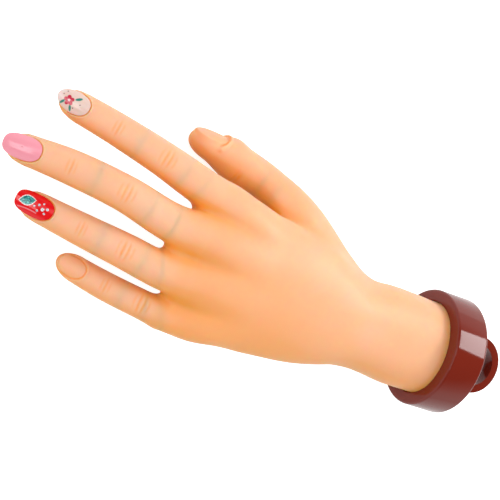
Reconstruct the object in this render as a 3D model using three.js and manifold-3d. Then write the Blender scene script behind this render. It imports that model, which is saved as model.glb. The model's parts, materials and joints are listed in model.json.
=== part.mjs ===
// Nail practice hand: a soft vinyl left hand on a bendable wire armature, set in a round
// plastic collar whose eye slips over the post of a table stand.
// Lengths are in millimetres and angles in degrees. X runs from the collar to the fingertips,
// Z is up through the back of the hand, and the thumb is on the -Y side.

import * as THREE from 'three';
import { mergeVertices } from 'three/addons/utils/BufferGeometryUtils.js';
import Module from 'manifold-3d';

const wasm = await Module();
wasm.setup();

// Fits shared by every piece
const clearance = 0.3;
const overrun = 2;
const jointPlay = 1.5;
const jointReachShare = 0.72;
const weldShare = 0.001;

// Facet counts
const skinSides = 14;
const palmSides = 26;
const ballSides = 12;
const collarSides = 48;
const wireSides = 8;
const fanStep = 30;

// Palm: its length to the finger roots, its width at the knuckles and its skin
const palmLength = 150;
const palmWidth = 70;
const wristWidth = 41.4;
const wristDepth = 34;
const knuckleHeight = 31;
const knuckleDepth = 25;
const skinWall = 3;
const cavityReachShare = 0.83;
const cavityEndWidthShare = 0.8;
const cavityEndDepthShare = 0.6;

// Collar, whose rim stands out round the wrist, and the eye for the stand's post
const collarRim = 5.7;
const collarRadius = wristWidth / 2 + collarRim;
const collarLength = 17;
const collarWall = 4.6;
const collarEdgeRound = 1.8;
const eyeOuterRadius = 13;
const eyeBoreRadius = 9.5;
const eyeHeight = 11;
const eyeSetback = 10.6;
const eyeFootWidth = 27;
const eyeFootDepth = 4.2;
const eyeRimBevel = 0.7;

// Screws that hold the collar to the wrist plug, and the eye to the collar
const plugScrewRadius = 1.5;
const plugScrewHeadRadius = 2.8;
const plugScrewHeadDepth = 2;
const plugScrewLength = 9.5;
const plugScrewInset = 6.7;
const plugScrewSpacing = wristDepth - 2 * plugScrewInset;
const eyeScrewRadius = 1.25;
const eyeScrewHeadRadius = 2.3;
const eyeScrewHeadDepth = 1.8;
const eyeScrewLength = 6;
const eyeScrewInset = 2.8;
const eyeScrewSpacing = eyeFootWidth - 2 * eyeScrewInset;
const screwDomeShare = 0.3;
const screwPointShare = 0.4;

// Inner armature
const wireRadius = 1.1;
const coreThickness = 7;
const coreWidth = 26;
const coreStart = 42;
const coreEnd = 86;
const coreTongueWidth = 15;
const coreWireDepth = 12;
const coreWireInset = 2.2;
const thumbWireShare = 0.25;
const plugThickness = 9;
const plugPocketDepth = 5;
const ballInset = 1;
const tipWireShare = 0.42;

// Press-on nails
const nailThickness = 0.9;
const nailSink = 0.75;
const nailRows = 8;
const nailColumns = 6;

// Form of a nail: the shares of its length over which the cuticle and the free edge round off,
// how far it falls and bows over its length, and how far it narrows and curves over its width
const nailForm = {
  seatShare: 0.97, fallShare: 0.11, bowShare: 0.03, curveShare: 0.6, curveLimitShare: 0.96,
  cuticleShare: 0.3, cuticleWidthShare: 0.38, cuticlePower: 2.2,
  edgeShare: 0.28, edgeWidthShare: 0.5, edgePower: 2.6, taperShare: 0.16,
};

// Form of a finger's lengths: where their sections lie, the waist between two joints, and how
// the fingertip rounds off and turns down
const lengthForm = {
  stationShares: [0, 0.25, 0.5, 0.75, 1], waistShare: 0.035,
  pulpShare: 0.55, pulpStationShares: [0, 0.5, 1],
  tipStationShares: [0.35, 0.62, 0.82, 0.94, 0.99], tipPower: 2.4, tipDropShare: 0.12,
};

// Form of the palm over a knuckle, from behind it to the finger's root, as shares of the
// stretch between the two and of the half sizes there
const rootForm = {
  behindShare: 0.8, startWidthShare: 0.5, startDepthShare: 0.4,
  knuckleDepthShare: 1.12, midwayShare: 0.55, midwayDepthShare: 1.05,
};

// Fingers. Widths and depths are full sizes at the root, at the two joints and at the pulp.
// lean is the turn sideways and droop the tilt down of each length at rest, and flex and
// raise are how far each joint bends down and up from there.
const fingers = {
  index: {
    root: { forwardShare: 0.975, sideShare: -0.471, heightShare: 0.935 },
    knuckle: { forwardShare: 0.873, sideShare: -0.44, heightShare: 0.985, width: 17.6 },
    lengths: [21.1, 23.2, 25.2], widths: [16.6, 14.9, 13.9, 13.1], depths: [15.6, 14, 12.6, 11.2],
    lean: [-17, -15, -9], droop: [10, 21, 22], flex: [45, 60, 40], raise: [10, 0, 0], roll: 0,
    nail: { length: 13.8, width: 9.9, pressOn: true },
  },
  middle: {
    root: { forwardShare: 1.032, sideShare: -0.217, heightShare: 1 },
    knuckle: { forwardShare: 0.905, sideShare: -0.214, heightShare: 1.05, width: 20 },
    lengths: [25.5, 24, 26.6], widths: [16.9, 15.5, 14.9, 13.6], depths: [16, 14.6, 13.2, 11.6],
    lean: [-13, -7.2, -1.8], droop: [9, 22, 23], flex: [45, 60, 40], raise: [10, 0, 0], roll: 0,
    nail: { length: 15.8, width: 10.8, pressOn: true },
  },
  ring: {
    root: { forwardShare: 1.011, sideShare: 0.054, heightShare: 0.935 },
    knuckle: { forwardShare: 0.914, sideShare: 0.057, heightShare: 0.985, width: 19.4 },
    lengths: [19.3, 19.4, 27.2], widths: [16.4, 15, 14.1, 13.2], depths: [15.4, 14, 12.6, 11.3],
    lean: [-7.9, -8.4, -6.1], droop: [12, 24, 21], flex: [45, 60, 40], raise: [10, 0, 0], roll: 0,
    nail: { length: 16, width: 10.2, pressOn: true },
  },
  little: {
    root: { forwardShare: 0.943, sideShare: 0.306, heightShare: 0.806 },
    knuckle: { forwardShare: 0.86, sideShare: 0.29, heightShare: 0.87, width: 17 },
    lengths: [12.6, 16.4, 22], widths: [13.6, 12.8, 12.4, 11.6], depths: [12.9, 12, 11.2, 10],
    lean: [-7.5, -7.9, -10.2], droop: [16, 24, 22], flex: [45, 60, 40], raise: [10, 0, 0], roll: 0,
    nail: { length: 11.6, width: 8.4, pressOn: false },
  },
};

const thumb = {
  root: { forwardShare: 0.655, sideShare: -0.584, heightShare: 0.484 },
  lengths: [28, 25.4], widths: [17.2, 16, 14.4], depths: [18.6, 16.6, 13.4],
  lean: [-17, -8.3], droop: [10.3, 6.9], flex: [20, 40], raise: [10, 0], roll: 76,
  nail: { length: 14.6, width: 11.4, pressOn: false },
};

// Cross-sections of the palm from the wrist to the webs, as shares of its length, width and
// knuckle height and depth: forward, thumb edge, little-finger edge, height, depth, arch, tilt
const palmShares = [
  [0.215, -0.304, 0.294, 0.862, 1.34, 0, 0],
  [0.29, -0.3, 0.279, 0.865, 1.31, 0, 0],
  [0.347, -0.306, 0.277, 0.872, 1.28, 0, 0.01],
  [0.427, -0.345, 0.301, 0.89, 1.24, 0.01, 0.015],
  [0.52, -0.402, 0.344, 0.92, 1.2, 0.025, 0.02],
  [0.62, -0.455, 0.366, 0.945, 1.16, 0.045, 0.03],
  [0.72, -0.505, 0.384, 0.965, 1.1, 0.065, 0.04],
  [0.813, -0.54, 0.398, 0.985, 1.02, 0.085, 0.05],
  [0.9, -0.56, 0.402, 0.99, 0.88, 0.1, 0.06],
  [0.955, -0.5, 0.34, 0.97, 0.66, 0.1, 0.05],
  [0.99, -0.37, 0.22, 0.955, 0.42, 0.06, 0.02],
];

// Ball of the thumb: forward, side, height and depth shares of the same palm sizes
const thumbBaseShares = [
  [0.34, -0.14, 0.6, 0.4],
  [0.42, -0.24, 0.56, 0.82],
  [0.5, -0.36, 0.53, 0.98],
  [0.58, -0.47, 0.5, 0.88],
];

// Sizes worked out from the ones above
const collarAxisHeight = collarRadius;
const recessFloor = collarWall;
const wristStart = recessFloor + clearance;
const cavityReach = palmLength * cavityReachShare;
const coreHeight = collarAxisHeight + clearance;
const plugEnd = wristStart + plugThickness;

const degrees = (angle) => THREE.MathUtils.degToRad(angle);

const skinColour = 0xf6bd92;
const baseColour = 0x7a2a1c;

const materials = {
  skin: () => new THREE.MeshStandardMaterial({ color: skinColour, roughness: 0.5, metalness: 0 }),
  base: () => new THREE.MeshStandardMaterial({ color: baseColour, roughness: 0.15, metalness: 0 }),
  wire: () => new THREE.MeshStandardMaterial({ color: 0xb9bcc0, roughness: 0.35, metalness: 1 }),
  screw: () => new THREE.MeshStandardMaterial({ color: 0xa9acb0, roughness: 0.3, metalness: 1 }),
  core: () => new THREE.MeshStandardMaterial({ color: 0xd9d4c8, roughness: 0.6, metalness: 0 }),
  indexNail: () => new THREE.MeshStandardMaterial({ color: 0xf3d6d2, roughness: 0.15, metalness: 0 }),
  middleNail: () => new THREE.MeshStandardMaterial({ color: 0xf9a9b6, roughness: 0.12, metalness: 0 }),
  ringNail: () => new THREE.MeshStandardMaterial({ color: 0xe8151b, roughness: 0.12, metalness: 0 }),
};

// Solids and meshes

function toSolid(geometry) {
  const plain = geometry.index ? geometry.toNonIndexed() : geometry.clone();
  plain.deleteAttribute('normal');
  plain.deleteAttribute('uv');
  const merged = mergeVertices(plain, clearance * weldShare);
  return new wasm.Manifold(new wasm.Mesh({
    numProp: 3,
    vertProperties: new Float32Array(merged.attributes.position.array),
    triVerts: new Uint32Array(merged.index.array),
  }));
}

function toMesh(name, solid, material) {
  const data = solid.getMesh();
  const geometry = new THREE.BufferGeometry();
  geometry.setAttribute('position', new THREE.BufferAttribute(data.vertProperties, data.numProp));
  geometry.setIndex(new THREE.BufferAttribute(data.triVerts, 1));
  geometry.computeVertexNormals();
  const mesh = new THREE.Mesh(geometry, material);
  mesh.name = name;
  return mesh;
}

function placed(geometry, matrix) {
  return geometry.clone().applyMatrix4(matrix);
}

// A closed skin over rings of equal point count, each end closed to the middle of its ring
function loftGeometry(rings) {
  const count = rings[0].length;
  const positions = rings.flat().flatMap((point) => [point.x, point.y, point.z]);
  const triangles = [];
  for (let ring = 0; ring + 1 < rings.length; ring += 1) {
    for (let side = 0; side < count; side += 1) {
      const next = (side + 1) % count;
      const a = ring * count + side;
      const b = ring * count + next;
      triangles.push(a, b, b + count, a, b + count, a + count);
    }
  }
  const addCap = (ring, turned) => {
    const middle = new THREE.Vector3();
    rings[ring].forEach((point) => middle.add(point));
    middle.divideScalar(count);
    const centre = positions.length / 3;
    positions.push(middle.x, middle.y, middle.z);
    for (let side = 0; side < count; side += 1) {
      const a = ring * count + side;
      const b = ring * count + ((side + 1) % count);
      triangles.push(...(turned ? [centre, b, a] : [centre, a, b]));
    }
  };
  addCap(0, true);
  addCap(rings.length - 1, false);
  const geometry = new THREE.BufferGeometry();
  geometry.setAttribute('position', new THREE.Float32BufferAttribute(positions, 3));
  geometry.setIndex(triangles);
  return geometry;
}

// An oval ring across X, whose middle, half sizes, arch and tilt are given
function ovalRing({ x, y = 0, z = 0, halfWidth, halfDepth, arch = 0, tilt = 0 }, sides) {
  return Array.from({ length: sides }, (_, side) => {
    const turn = (2 * Math.PI * side) / sides;
    const across = Math.cos(turn);
    const drop = arch * across * across + tilt * across;
    return new THREE.Vector3(x, y + halfWidth * across, z + halfDepth * Math.sin(turn) - drop);
  });
}

function loft(stations, sides) {
  return toSolid(loftGeometry(stations.map((station) => ovalRing(station, sides))));
}

// A loft along a bent line, with round sections square to it
function bentLoft(points, radii, sides) {
  const curve = new THREE.CatmullRomCurve3(points);
  const frames = curve.computeFrenetFrames(points.length - 1, false);
  const rings = points.map((point, place) => Array.from({ length: sides }, (_, side) => {
    const turn = (2 * Math.PI * side) / sides;
    return point.clone()
      .addScaledVector(frames.normals[place], radii[place] * Math.cos(turn))
      .addScaledVector(frames.binormals[place], radii[place] * Math.sin(turn));
  }));
  return toSolid(loftGeometry(rings));
}

// A ball with its poles on Y, scaled to a joint's depth and width
function ballGeometry(halfDepth, halfWidth) {
  return new THREE.SphereGeometry(1, ballSides, ballSides / 2 + 1).scale(halfDepth, halfWidth, halfDepth);
}

// Facets lie inside the true round, so a socket grows by this much to clear the ball everywhere
const socketGrowth = 1 / (Math.cos(Math.PI / ballSides) ** 2);

// A fan across Y, from one angle to another about the joint, that trims a skin's end
function fan(fromAngle, toAngle, reach, halfWidth) {
  const shape = new THREE.Shape();
  const steps = Math.ceil((toAngle - fromAngle) / fanStep);
  shape.moveTo(0, 0);
  for (let step = 0; step <= steps; step += 1) {
    const angle = degrees(fromAngle + ((toAngle - fromAngle) * step) / steps);
    shape.lineTo(reach * Math.cos(angle), reach * Math.sin(angle));
  }
  const geometry = new THREE.ExtrudeGeometry(shape, { depth: 2 * halfWidth, bevelEnabled: false });
  return geometry.rotateX(Math.PI / 2).translate(0, halfWidth, 0);
}

// A round bar along X from one place to another
function bar(from, to, radius, sides = wireSides) {
  return new THREE.CylinderGeometry(radius, radius, to - from, sides)
    .rotateZ(-Math.PI / 2).translate((from + to) / 2, 0, 0);
}

// Places and turns of the fingers

function palmPoint({ forwardShare, sideShare, heightShare }) {
  return new THREE.Vector3(palmLength * forwardShare, palmWidth * sideShare, knuckleHeight * heightShare);
}

function lengthTurn(finger, place) {
  const turn = new THREE.Euler(degrees(finger.roll), degrees(finger.droop[place]),
    degrees(finger.lean[place]), 'ZYX');
  return new THREE.Quaternion().setFromEuler(turn);
}

// Where a length's joint lies in the length before it, or in the palm for the first
function jointFrame(finger, place) {
  const turn = lengthTurn(finger, place);
  if (place === 0) {
    return new THREE.Matrix4().compose(palmPoint(finger.root), turn, new THREE.Vector3(1, 1, 1));
  }
  const before = lengthTurn(finger, place - 1).invert().multiply(turn);
  const start = new THREE.Vector3(finger.lengths[place - 1], 0, 0);
  return new THREE.Matrix4().compose(start, before, new THREE.Vector3(1, 1, 1));
}

function ballSize(finger, place) {
  return {
    halfDepth: finger.depths[place] / 2 - ballInset,
    halfWidth: finger.widths[place] / 2 - ballInset,
  };
}

// What is cut from the piece that carries a joint: its socket and the room to bend
function jointCut(finger, place) {
  const frame = jointFrame(finger, place);
  const ball = ballSize(finger, place);
  const grown = (size) => (size + clearance) * socketGrowth;
  const socket = placed(ballGeometry(grown(ball.halfDepth), grown(ball.halfWidth)), frame);
  const lower = -90 - finger.flex[place] / 2 - jointPlay;
  const upper = 90 + finger.raise[place] / 2 + jointPlay;
  const reach = finger.depths[place] * jointReachShare;
  const room = fan(lower, upper, reach, finger.widths[place] / 2 + clearance);
  return toSolid(socket).add(toSolid(placed(room, frame)));
}

// Half sizes of a finger along one of its lengths
function fingerStations(finger, place) {
  const form = lengthForm;
  const length = finger.lengths[place];
  const from = { halfWidth: finger.widths[place] / 2, halfDepth: finger.depths[place] / 2 };
  const to = { halfWidth: finger.widths[place + 1] / 2, halfDepth: finger.depths[place + 1] / 2 };
  const mix = (share) => ({
    halfWidth: THREE.MathUtils.lerp(from.halfWidth, to.halfWidth, share),
    halfDepth: THREE.MathUtils.lerp(from.halfDepth, to.halfDepth, share),
  });
  if (place < finger.lengths.length - 1) {
    return form.stationShares.map((share) => {
      const { halfWidth, halfDepth } = mix(share);
      const waist = 1 - form.waistShare * Math.sin(Math.PI * share);
      return { x: length * share, halfWidth: halfWidth * waist, halfDepth: halfDepth * waist };
    });
  }
  const pulpEnd = length * form.pulpShare;
  const straight = form.pulpStationShares.map((share) => ({ x: pulpEnd * share, ...mix(share) }));
  const round = form.tipStationShares.map((share) => ({
    x: THREE.MathUtils.lerp(pulpEnd, length, share),
    z: -to.halfDepth * form.tipDropShare * share,
    halfWidth: to.halfWidth * Math.sqrt(1 - share ** form.tipPower),
    halfDepth: to.halfDepth * Math.sqrt(1 - share ** 2),
  }));
  return [...straight, ...round];
}

// The skin of one length: its loft, trimmed at the joint, with the ball that turns in the socket
function lengthSkin(finger, place) {
  const stations = fingerStations(finger, place);
  const last = place === finger.lengths.length - 1;
  const first = stations[0];
  stations.unshift({ ...first, x: -overrun });
  if (!last) stations.push({ ...stations.at(-1), x: finger.lengths[place] + overrun });
  const lower = -90 + finger.flex[place] / 2 + jointPlay;
  const upper = 90 - finger.raise[place] / 2 - jointPlay;
  const trim = fan(upper, 360 + lower, finger.depths[place] * 2, finger.widths[place]);
  const ball = ballSize(finger, place);
  let skin = loft(stations, skinSides).subtract(toSolid(trim));
  skin = skin.add(toSolid(ballGeometry(ball.halfDepth, ball.halfWidth)));
  if (!last) skin = skin.subtract(jointCut(finger, place + 1));
  if (last) skin = fitNail(skin, finger);
  const wire = wireSpan(finger, place);
  const channelEnd = last ? wire.to + clearance : finger.lengths[place];
  const channel = bar(-ball.halfDepth - overrun, channelEnd, wireRadius + clearance);
  return skin.subtract(toSolid(channel));
}

function wireSpan(finger, place) {
  const last = place === finger.lengths.length - 1;
  const from = -ballSize(finger, place).halfDepth + clearance / 2;
  if (last) return { from, to: finger.lengths[place] * tipWireShare };
  const socket = (ballSize(finger, place + 1).halfDepth + clearance) * socketGrowth;
  return { from, to: finger.lengths[place] - socket - clearance / 2 };
}

// Nails: a plate curved both ways, wide at the cuticle and rounded at its free edge.
// grow widens it for the bed that is cut under it, and lift raises its top clear of the skin.

function nailOutline(nail, finger) {
  const end = finger.lengths.at(-1) + (nail.pressOn ? nailThickness : -nailThickness);
  return { start: end - nail.length, end };
}

function nailHalfWidth(nail, share) {
  const form = nailForm;
  const cuticle = 1 - (1 - Math.min(share / form.cuticleShare, 1)) ** form.cuticlePower;
  const past = Math.max((share - 1 + form.edgeShare) / form.edgeShare, 0);
  const edge = 1 - (1 - form.edgeWidthShare) * past ** form.edgePower;
  const taper = 1 - form.taperShare * share;
  return (nail.width / 2) * THREE.MathUtils.lerp(form.cuticleWidthShare, 1, cuticle) * edge * taper;
}

// How far the nail's curve across falls at this distance from its middle
function nailCurve(nail, across) {
  const radius = nail.width * nailForm.curveShare;
  const held = Math.min(Math.abs(across), radius * nailForm.curveLimitShare);
  return radius - Math.sqrt(radius ** 2 - held ** 2);
}

// One side of the nail, in rows along it that crowd together at its two ends
function nailLayer(nail, finger, grow, raise) {
  const { start, end } = nailOutline(nail, finger);
  const topAtCuticle = (finger.depths.at(-1) / 2) * nailForm.seatShare + nailThickness - nailSink;
  return Array.from({ length: nailRows }, (_, row) => {
    const share = (1 - Math.cos((Math.PI * row) / (nailRows - 1))) / 2;
    const along = nailForm.bowShare * Math.sin(Math.PI * share) - nailForm.fallShare * share;
    const half = nailHalfWidth(nail, share) + grow;
    return Array.from({ length: nailColumns + 1 }, (__, column) => {
      const y = half * ((2 * column) / nailColumns - 1);
      const z = topAtCuticle + nail.length * along - nailCurve(nail, y) + raise;
      return [THREE.MathUtils.lerp(start - grow, end + grow, share), y, z];
    });
  });
}

function nailGeometry(nail, finger, grow, lift, sink) {
  const layers = [lift, -nailThickness - sink].map((raise) => nailLayer(nail, finger, grow, raise));
  const width = nailColumns + 1;
  const under = nailRows * width;
  const triangles = [];
  const quad = (a, b, c, d) => triangles.push(a, b, c, a, c, d);
  for (let row = 0; row + 1 < nailRows; row += 1) {
    for (let column = 0; column < nailColumns; column += 1) {
      const a = row * width + column;
      quad(a, a + width, a + width + 1, a + 1);
      quad(under + a, under + a + 1, under + a + width + 1, under + a + width);
    }
    const left = row * width;
    const right = left + nailColumns;
    quad(left, under + left, under + left + width, left + width);
    quad(right, right + width, under + right + width, under + right);
  }
  for (let column = 0; column < nailColumns; column += 1) {
    const front = (nailRows - 1) * width + column;
    quad(column, column + 1, under + column + 1, under + column);
    quad(front, under + front, under + front + 1, front + 1);
  }
  const geometry = new THREE.BufferGeometry();
  geometry.setAttribute('position', new THREE.Float32BufferAttribute(layers.flat(3), 3));
  geometry.setIndex(triangles);
  return geometry;
}

// A press-on nail lies on a bed cut into the skin. A moulded nail stands up from the skin itself.
function fitNail(skin, finger) {
  const { nail } = finger;
  if (nail.pressOn) {
    return skin.subtract(toSolid(nailGeometry(nail, finger, clearance, finger.depths[0], clearance)));
  }
  const bed = skin.subtract(toSolid(nailGeometry(nail, finger, clearance * 2, finger.depths[0], 0)));
  return bed.add(toSolid(nailGeometry(nail, finger, 0, 0, nailThickness)));
}

// Palm

function palmStation([forwardShare, thumbShare, littleShare, heightShare, depthShare, archShare, tiltShare]) {
  return {
    x: palmLength * forwardShare,
    y: (palmWidth * (thumbShare + littleShare)) / 2,
    z: knuckleHeight * heightShare,
    halfWidth: (palmWidth * (littleShare - thumbShare)) / 2,
    halfDepth: (knuckleDepth * depthShare) / 2,
    arch: (palmWidth * archShare) / 2,
    tilt: (palmWidth * tiltShare) / 2,
  };
}

function palmStations() {
  const wrist = { y: 0, z: collarAxisHeight, halfWidth: wristWidth / 2, halfDepth: wristDepth / 2 };
  const inCollar = [wristStart, collarLength + collarEdgeRound].map((x) => ({ ...wrist, x }));
  return [...inCollar, ...palmShares.map(palmStation)];
}

function palmCavity() {
  const inner = palmStations().filter(({ x }) => x < cavityReach).map((station) => ({
    ...station,
    halfWidth: station.halfWidth - skinWall,
    halfDepth: station.halfDepth - skinWall,
  }));
  inner.unshift({ ...inner[0], x: wristStart - overrun });
  const last = inner.at(-1);
  inner.push({
    ...last,
    x: cavityReach,
    halfWidth: last.halfWidth * cavityEndWidthShare,
    halfDepth: last.halfDepth * cavityEndDepthShare,
  });
  return loft(inner, palmSides);
}

// From the knuckle to just past the root, buried in the palm at its near end
function fingerRoot(finger) {
  const form = rootForm;
  const knuckle = palmPoint(finger.knuckle);
  const root = palmPoint(finger.root);
  const back = knuckle.clone().lerp(root, -form.behindShare);
  back.z -= skinWall;
  const ahead = new THREE.Vector3(overrun, 0, 0).applyQuaternion(lengthTurn(finger, 0));
  const knuckleHalf = finger.knuckle.width / 2;
  const halfWidth = finger.widths[0] / 2;
  const halfDepth = finger.depths[0] / 2;
  const stations = [
    [back, knuckleHalf * form.startWidthShare, knuckleHalf * form.startDepthShare],
    [knuckle, knuckleHalf, halfDepth * form.knuckleDepthShare],
    [knuckle.clone().lerp(root, form.midwayShare), (knuckleHalf + halfWidth) / 2,
      halfDepth * form.midwayDepthShare],
    [root, halfWidth, halfDepth],
    [root.clone().add(ahead), halfWidth, halfDepth],
  ];
  return loft(stations.map(([{ x, y, z }, width, depth]) => ({
    x, y, z, halfWidth: width, halfDepth: depth,
  })), skinSides);
}

function thumbBase() {
  const points = thumbBaseShares.map(([forward, side, height]) => new THREE.Vector3(
    palmLength * forward, palmWidth * side, knuckleHeight * height));
  const radii = thumbBaseShares.map((row) => (knuckleDepth * row[3]) / 2);
  const root = palmPoint(thumb.root);
  const ahead = new THREE.Vector3(overrun, 0, 0).applyQuaternion(lengthTurn(thumb, 0));
  points.push(root, root.clone().add(ahead));
  radii.push(thumb.depths[0] / 2, thumb.depths[0] / 2);
  return bentLoft(points, radii, skinSides);
}

// The wires in the palm run straight from the core to each finger's root
function palmWire(finger, forward, side) {
  const start = new THREE.Vector3(forward, side, coreHeight);
  const root = palmPoint(finger.root);
  return { start, root, span: start.distanceTo(root) };
}

const wireSpread = coreWidth - 2 * coreWireInset;
const palmWires = Object.fromEntries(Object.entries(fingers).map(([name, finger], order, all) => {
  const side = wireSpread * (order / (all.length - 1) - 1 / 2);
  return [name, palmWire(finger, coreEnd - coreWireDepth, side)];
}));
palmWires.thumb = palmWire(thumb, coreStart + coreWireDepth, -coreWidth * thumbWireShare);

function alongWire({ start, root }) {
  const turn = new THREE.Quaternion().setFromUnitVectors(
    new THREE.Vector3(1, 0, 0), root.clone().sub(start).normalize());
  return new THREE.Matrix4().compose(start, turn, new THREE.Vector3(1, 1, 1));
}

function palmWireEnd(name) {
  const finger = name === 'thumb' ? thumb : fingers[name];
  const socket = (ballSize(finger, 0).halfDepth + clearance) * socketGrowth;
  return palmWires[name].span - socket - clearance / 2;
}

function palmChannel(name, from) {
  const channel = bar(from, palmWires[name].span, wireRadius + clearance);
  return toSolid(placed(channel, alongWire(palmWires[name])));
}

function palmSkin() {
  let skin = loft(palmStations(), palmSides);
  skin = skin.add(thumbBase());
  Object.values(fingers).forEach((finger) => { skin = skin.add(fingerRoot(finger)); });
  skin = skin.subtract(palmCavity());
  Object.values(fingers).forEach((finger) => { skin = skin.subtract(jointCut(finger, 0)); });
  skin = skin.subtract(jointCut(thumb, 0));
  Object.keys(palmWires).forEach((name) => {
    skin = skin.subtract(palmChannel(name, coreWireDepth));
  });
  return skin;
}

// Armature core: a flat bar that holds the five wires, with a tongue in the wrist plug
function armatureCore() {
  const halfWidth = coreWidth / 2;
  const halfTongue = coreTongueWidth / 2;
  const tongueEnd = plugEnd - plugPocketDepth + clearance;
  const shape = new THREE.Shape([
    [tongueEnd, -halfTongue], [coreStart - halfTongue, -halfTongue], [coreStart, -halfWidth],
    [coreEnd, -halfWidth], [coreEnd, halfWidth], [coreStart, halfWidth],
    [coreStart - halfTongue, halfTongue], [tongueEnd, halfTongue],
  ].map(([x, y]) => new THREE.Vector2(x, y)));
  const block = new THREE.ExtrudeGeometry(shape, { depth: coreThickness, bevelEnabled: false })
    .translate(0, 0, coreHeight - coreThickness / 2);
  let core = toSolid(block);
  Object.keys(palmWires).forEach((name) => { core = core.subtract(palmChannel(name, -clearance)); });
  return core;
}

function wristPlug() {
  const halfWidth = wristWidth / 2 - skinWall - clearance;
  const halfDepth = wristDepth / 2 - skinWall - clearance;
  const stations = [wristStart, plugEnd].map((x) => ({ x, z: collarAxisHeight, halfWidth, halfDepth }));
  let plug = loft(stations, palmSides);
  const pocket = new THREE.BoxGeometry(
    plugPocketDepth + overrun, coreTongueWidth + 2 * clearance, coreThickness + 2 * clearance);
  pocket.translate(plugEnd + (overrun - plugPocketDepth) / 2, 0, coreHeight);
  plug = plug.subtract(toSolid(pocket));
  [-1, 1].forEach((side) => {
    const hole = bar(0, plugScrewHeadDepth + plugScrewLength + 2 * clearance, plugScrewRadius + clearance);
    hole.translate(0, 0, collarAxisHeight + (side * plugScrewSpacing) / 2);
    plug = plug.subtract(toSolid(hole));
  });
  return plug;
}

// Collar: a turned cup with rounded rims, an oval recess for the wrist and a closed back
function baseCollar() {
  const round = (middleX, middleY, from, to) => [0, 0.5, 1].map((share) => {
    const angle = degrees(THREE.MathUtils.lerp(from, to, share));
    return [middleX + collarEdgeRound * Math.cos(angle), middleY + collarEdgeRound * Math.sin(angle)];
  });
  const inner = collarRadius - collarEdgeRound;
  const profile = [
    [0, 0], ...round(inner, collarEdgeRound, -90, 0),
    ...round(inner, collarLength - collarEdgeRound, 0, 90), [0, collarLength],
  ].map(([radius, height]) => new THREE.Vector2(radius, height));
  const cup = new THREE.LatheGeometry(profile, collarSides).rotateZ(-Math.PI / 2).translate(0, 0, collarAxisHeight);
  const recess = [recessFloor, collarLength + overrun].map((x) => ({
    x, z: collarAxisHeight,
    halfWidth: wristWidth / 2 + clearance, halfDepth: wristDepth / 2 + clearance,
  }));
  let collar = toSolid(cup).subtract(loft(recess, palmSides));
  [-1, 1].forEach((side) => {
    const hole = bar(-overrun, collarWall + overrun, plugScrewRadius + clearance);
    const seat = bar(-overrun, plugScrewHeadDepth + clearance, plugScrewHeadRadius + clearance, skinSides);
    const raised = collarAxisHeight + (side * plugScrewSpacing) / 2;
    collar = collar.subtract(toSolid(hole.translate(0, 0, raised)));
    collar = collar.subtract(toSolid(seat.translate(0, 0, raised)));
    const eyeHole = bar(-overrun, collarWall + overrun, eyeScrewRadius + clearance);
    const eyeSeat = bar(collarWall - eyeScrewHeadDepth - clearance, collarWall + overrun,
      eyeScrewHeadRadius + clearance, skinSides);
    collar = collar.subtract(toSolid(eyeHole.translate(0, (side * eyeScrewSpacing) / 2, collarAxisHeight)));
    collar = collar.subtract(toSolid(eyeSeat.translate(0, (side * eyeScrewSpacing) / 2, collarAxisHeight)));
  });
  return collar;
}

// Eye: a thick ring round the post's bore, on a flat foot that seats on the collar's back
function postEye() {
  const half = eyeHeight / 2;
  const ringProfile = [
    [eyeBoreRadius, -half + eyeRimBevel], [eyeBoreRadius + eyeRimBevel, -half],
    [eyeOuterRadius - eyeRimBevel, -half], [eyeOuterRadius, -half + eyeRimBevel],
    [eyeOuterRadius, half - eyeRimBevel], [eyeOuterRadius - eyeRimBevel, half],
    [eyeBoreRadius + eyeRimBevel, half], [eyeBoreRadius, half - eyeRimBevel],
    [eyeBoreRadius, -half + eyeRimBevel],
  ].map(([radius, height]) => new THREE.Vector2(radius, height));
  const ring = new THREE.LatheGeometry(ringProfile, collarSides / 2)
    .rotateX(Math.PI / 2).translate(-eyeSetback, 0, collarAxisHeight);
  const foot = new THREE.BoxGeometry(eyeFootDepth, eyeFootWidth, eyeHeight)
    .translate(-eyeFootDepth / 2 - clearance, 0, collarAxisHeight);
  const bore = new THREE.CylinderGeometry(eyeBoreRadius, eyeBoreRadius, eyeHeight + 2 * overrun, collarSides / 2)
    .rotateX(Math.PI / 2).translate(-eyeSetback, 0, collarAxisHeight);
  const front = new THREE.BoxGeometry(eyeOuterRadius, eyeFootWidth * 2, eyeHeight * 2)
    .translate(eyeOuterRadius / 2 - clearance, 0, collarAxisHeight);
  let eye = toSolid(ring).add(toSolid(foot)).subtract(toSolid(bore)).subtract(toSolid(front));
  [-1, 1].forEach((side) => {
    const hole = bar(clearance - eyeFootDepth, overrun, eyeScrewRadius + clearance);
    eye = eye.subtract(toSolid(hole.translate(0, (side * eyeScrewSpacing) / 2, collarAxisHeight)));
  });
  return eye;
}

// A screw along X, its head at the near end
function screw(headRadius, headDepth, radius, length) {
  const dome = headDepth * screwDomeShare;
  const profile = [
    [0, 0], [headRadius - dome, 0], [headRadius, dome], [headRadius, headDepth],
    [radius, headDepth], [radius, headDepth + length - radius],
    [radius * screwPointShare, headDepth + length], [0, headDepth + length],
  ].map(([across, along]) => new THREE.Vector2(across, along));
  return toSolid(new THREE.LatheGeometry(profile, wireSides).rotateZ(-Math.PI / 2));
}

// Assembly

const hand = new THREE.Group();

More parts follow.
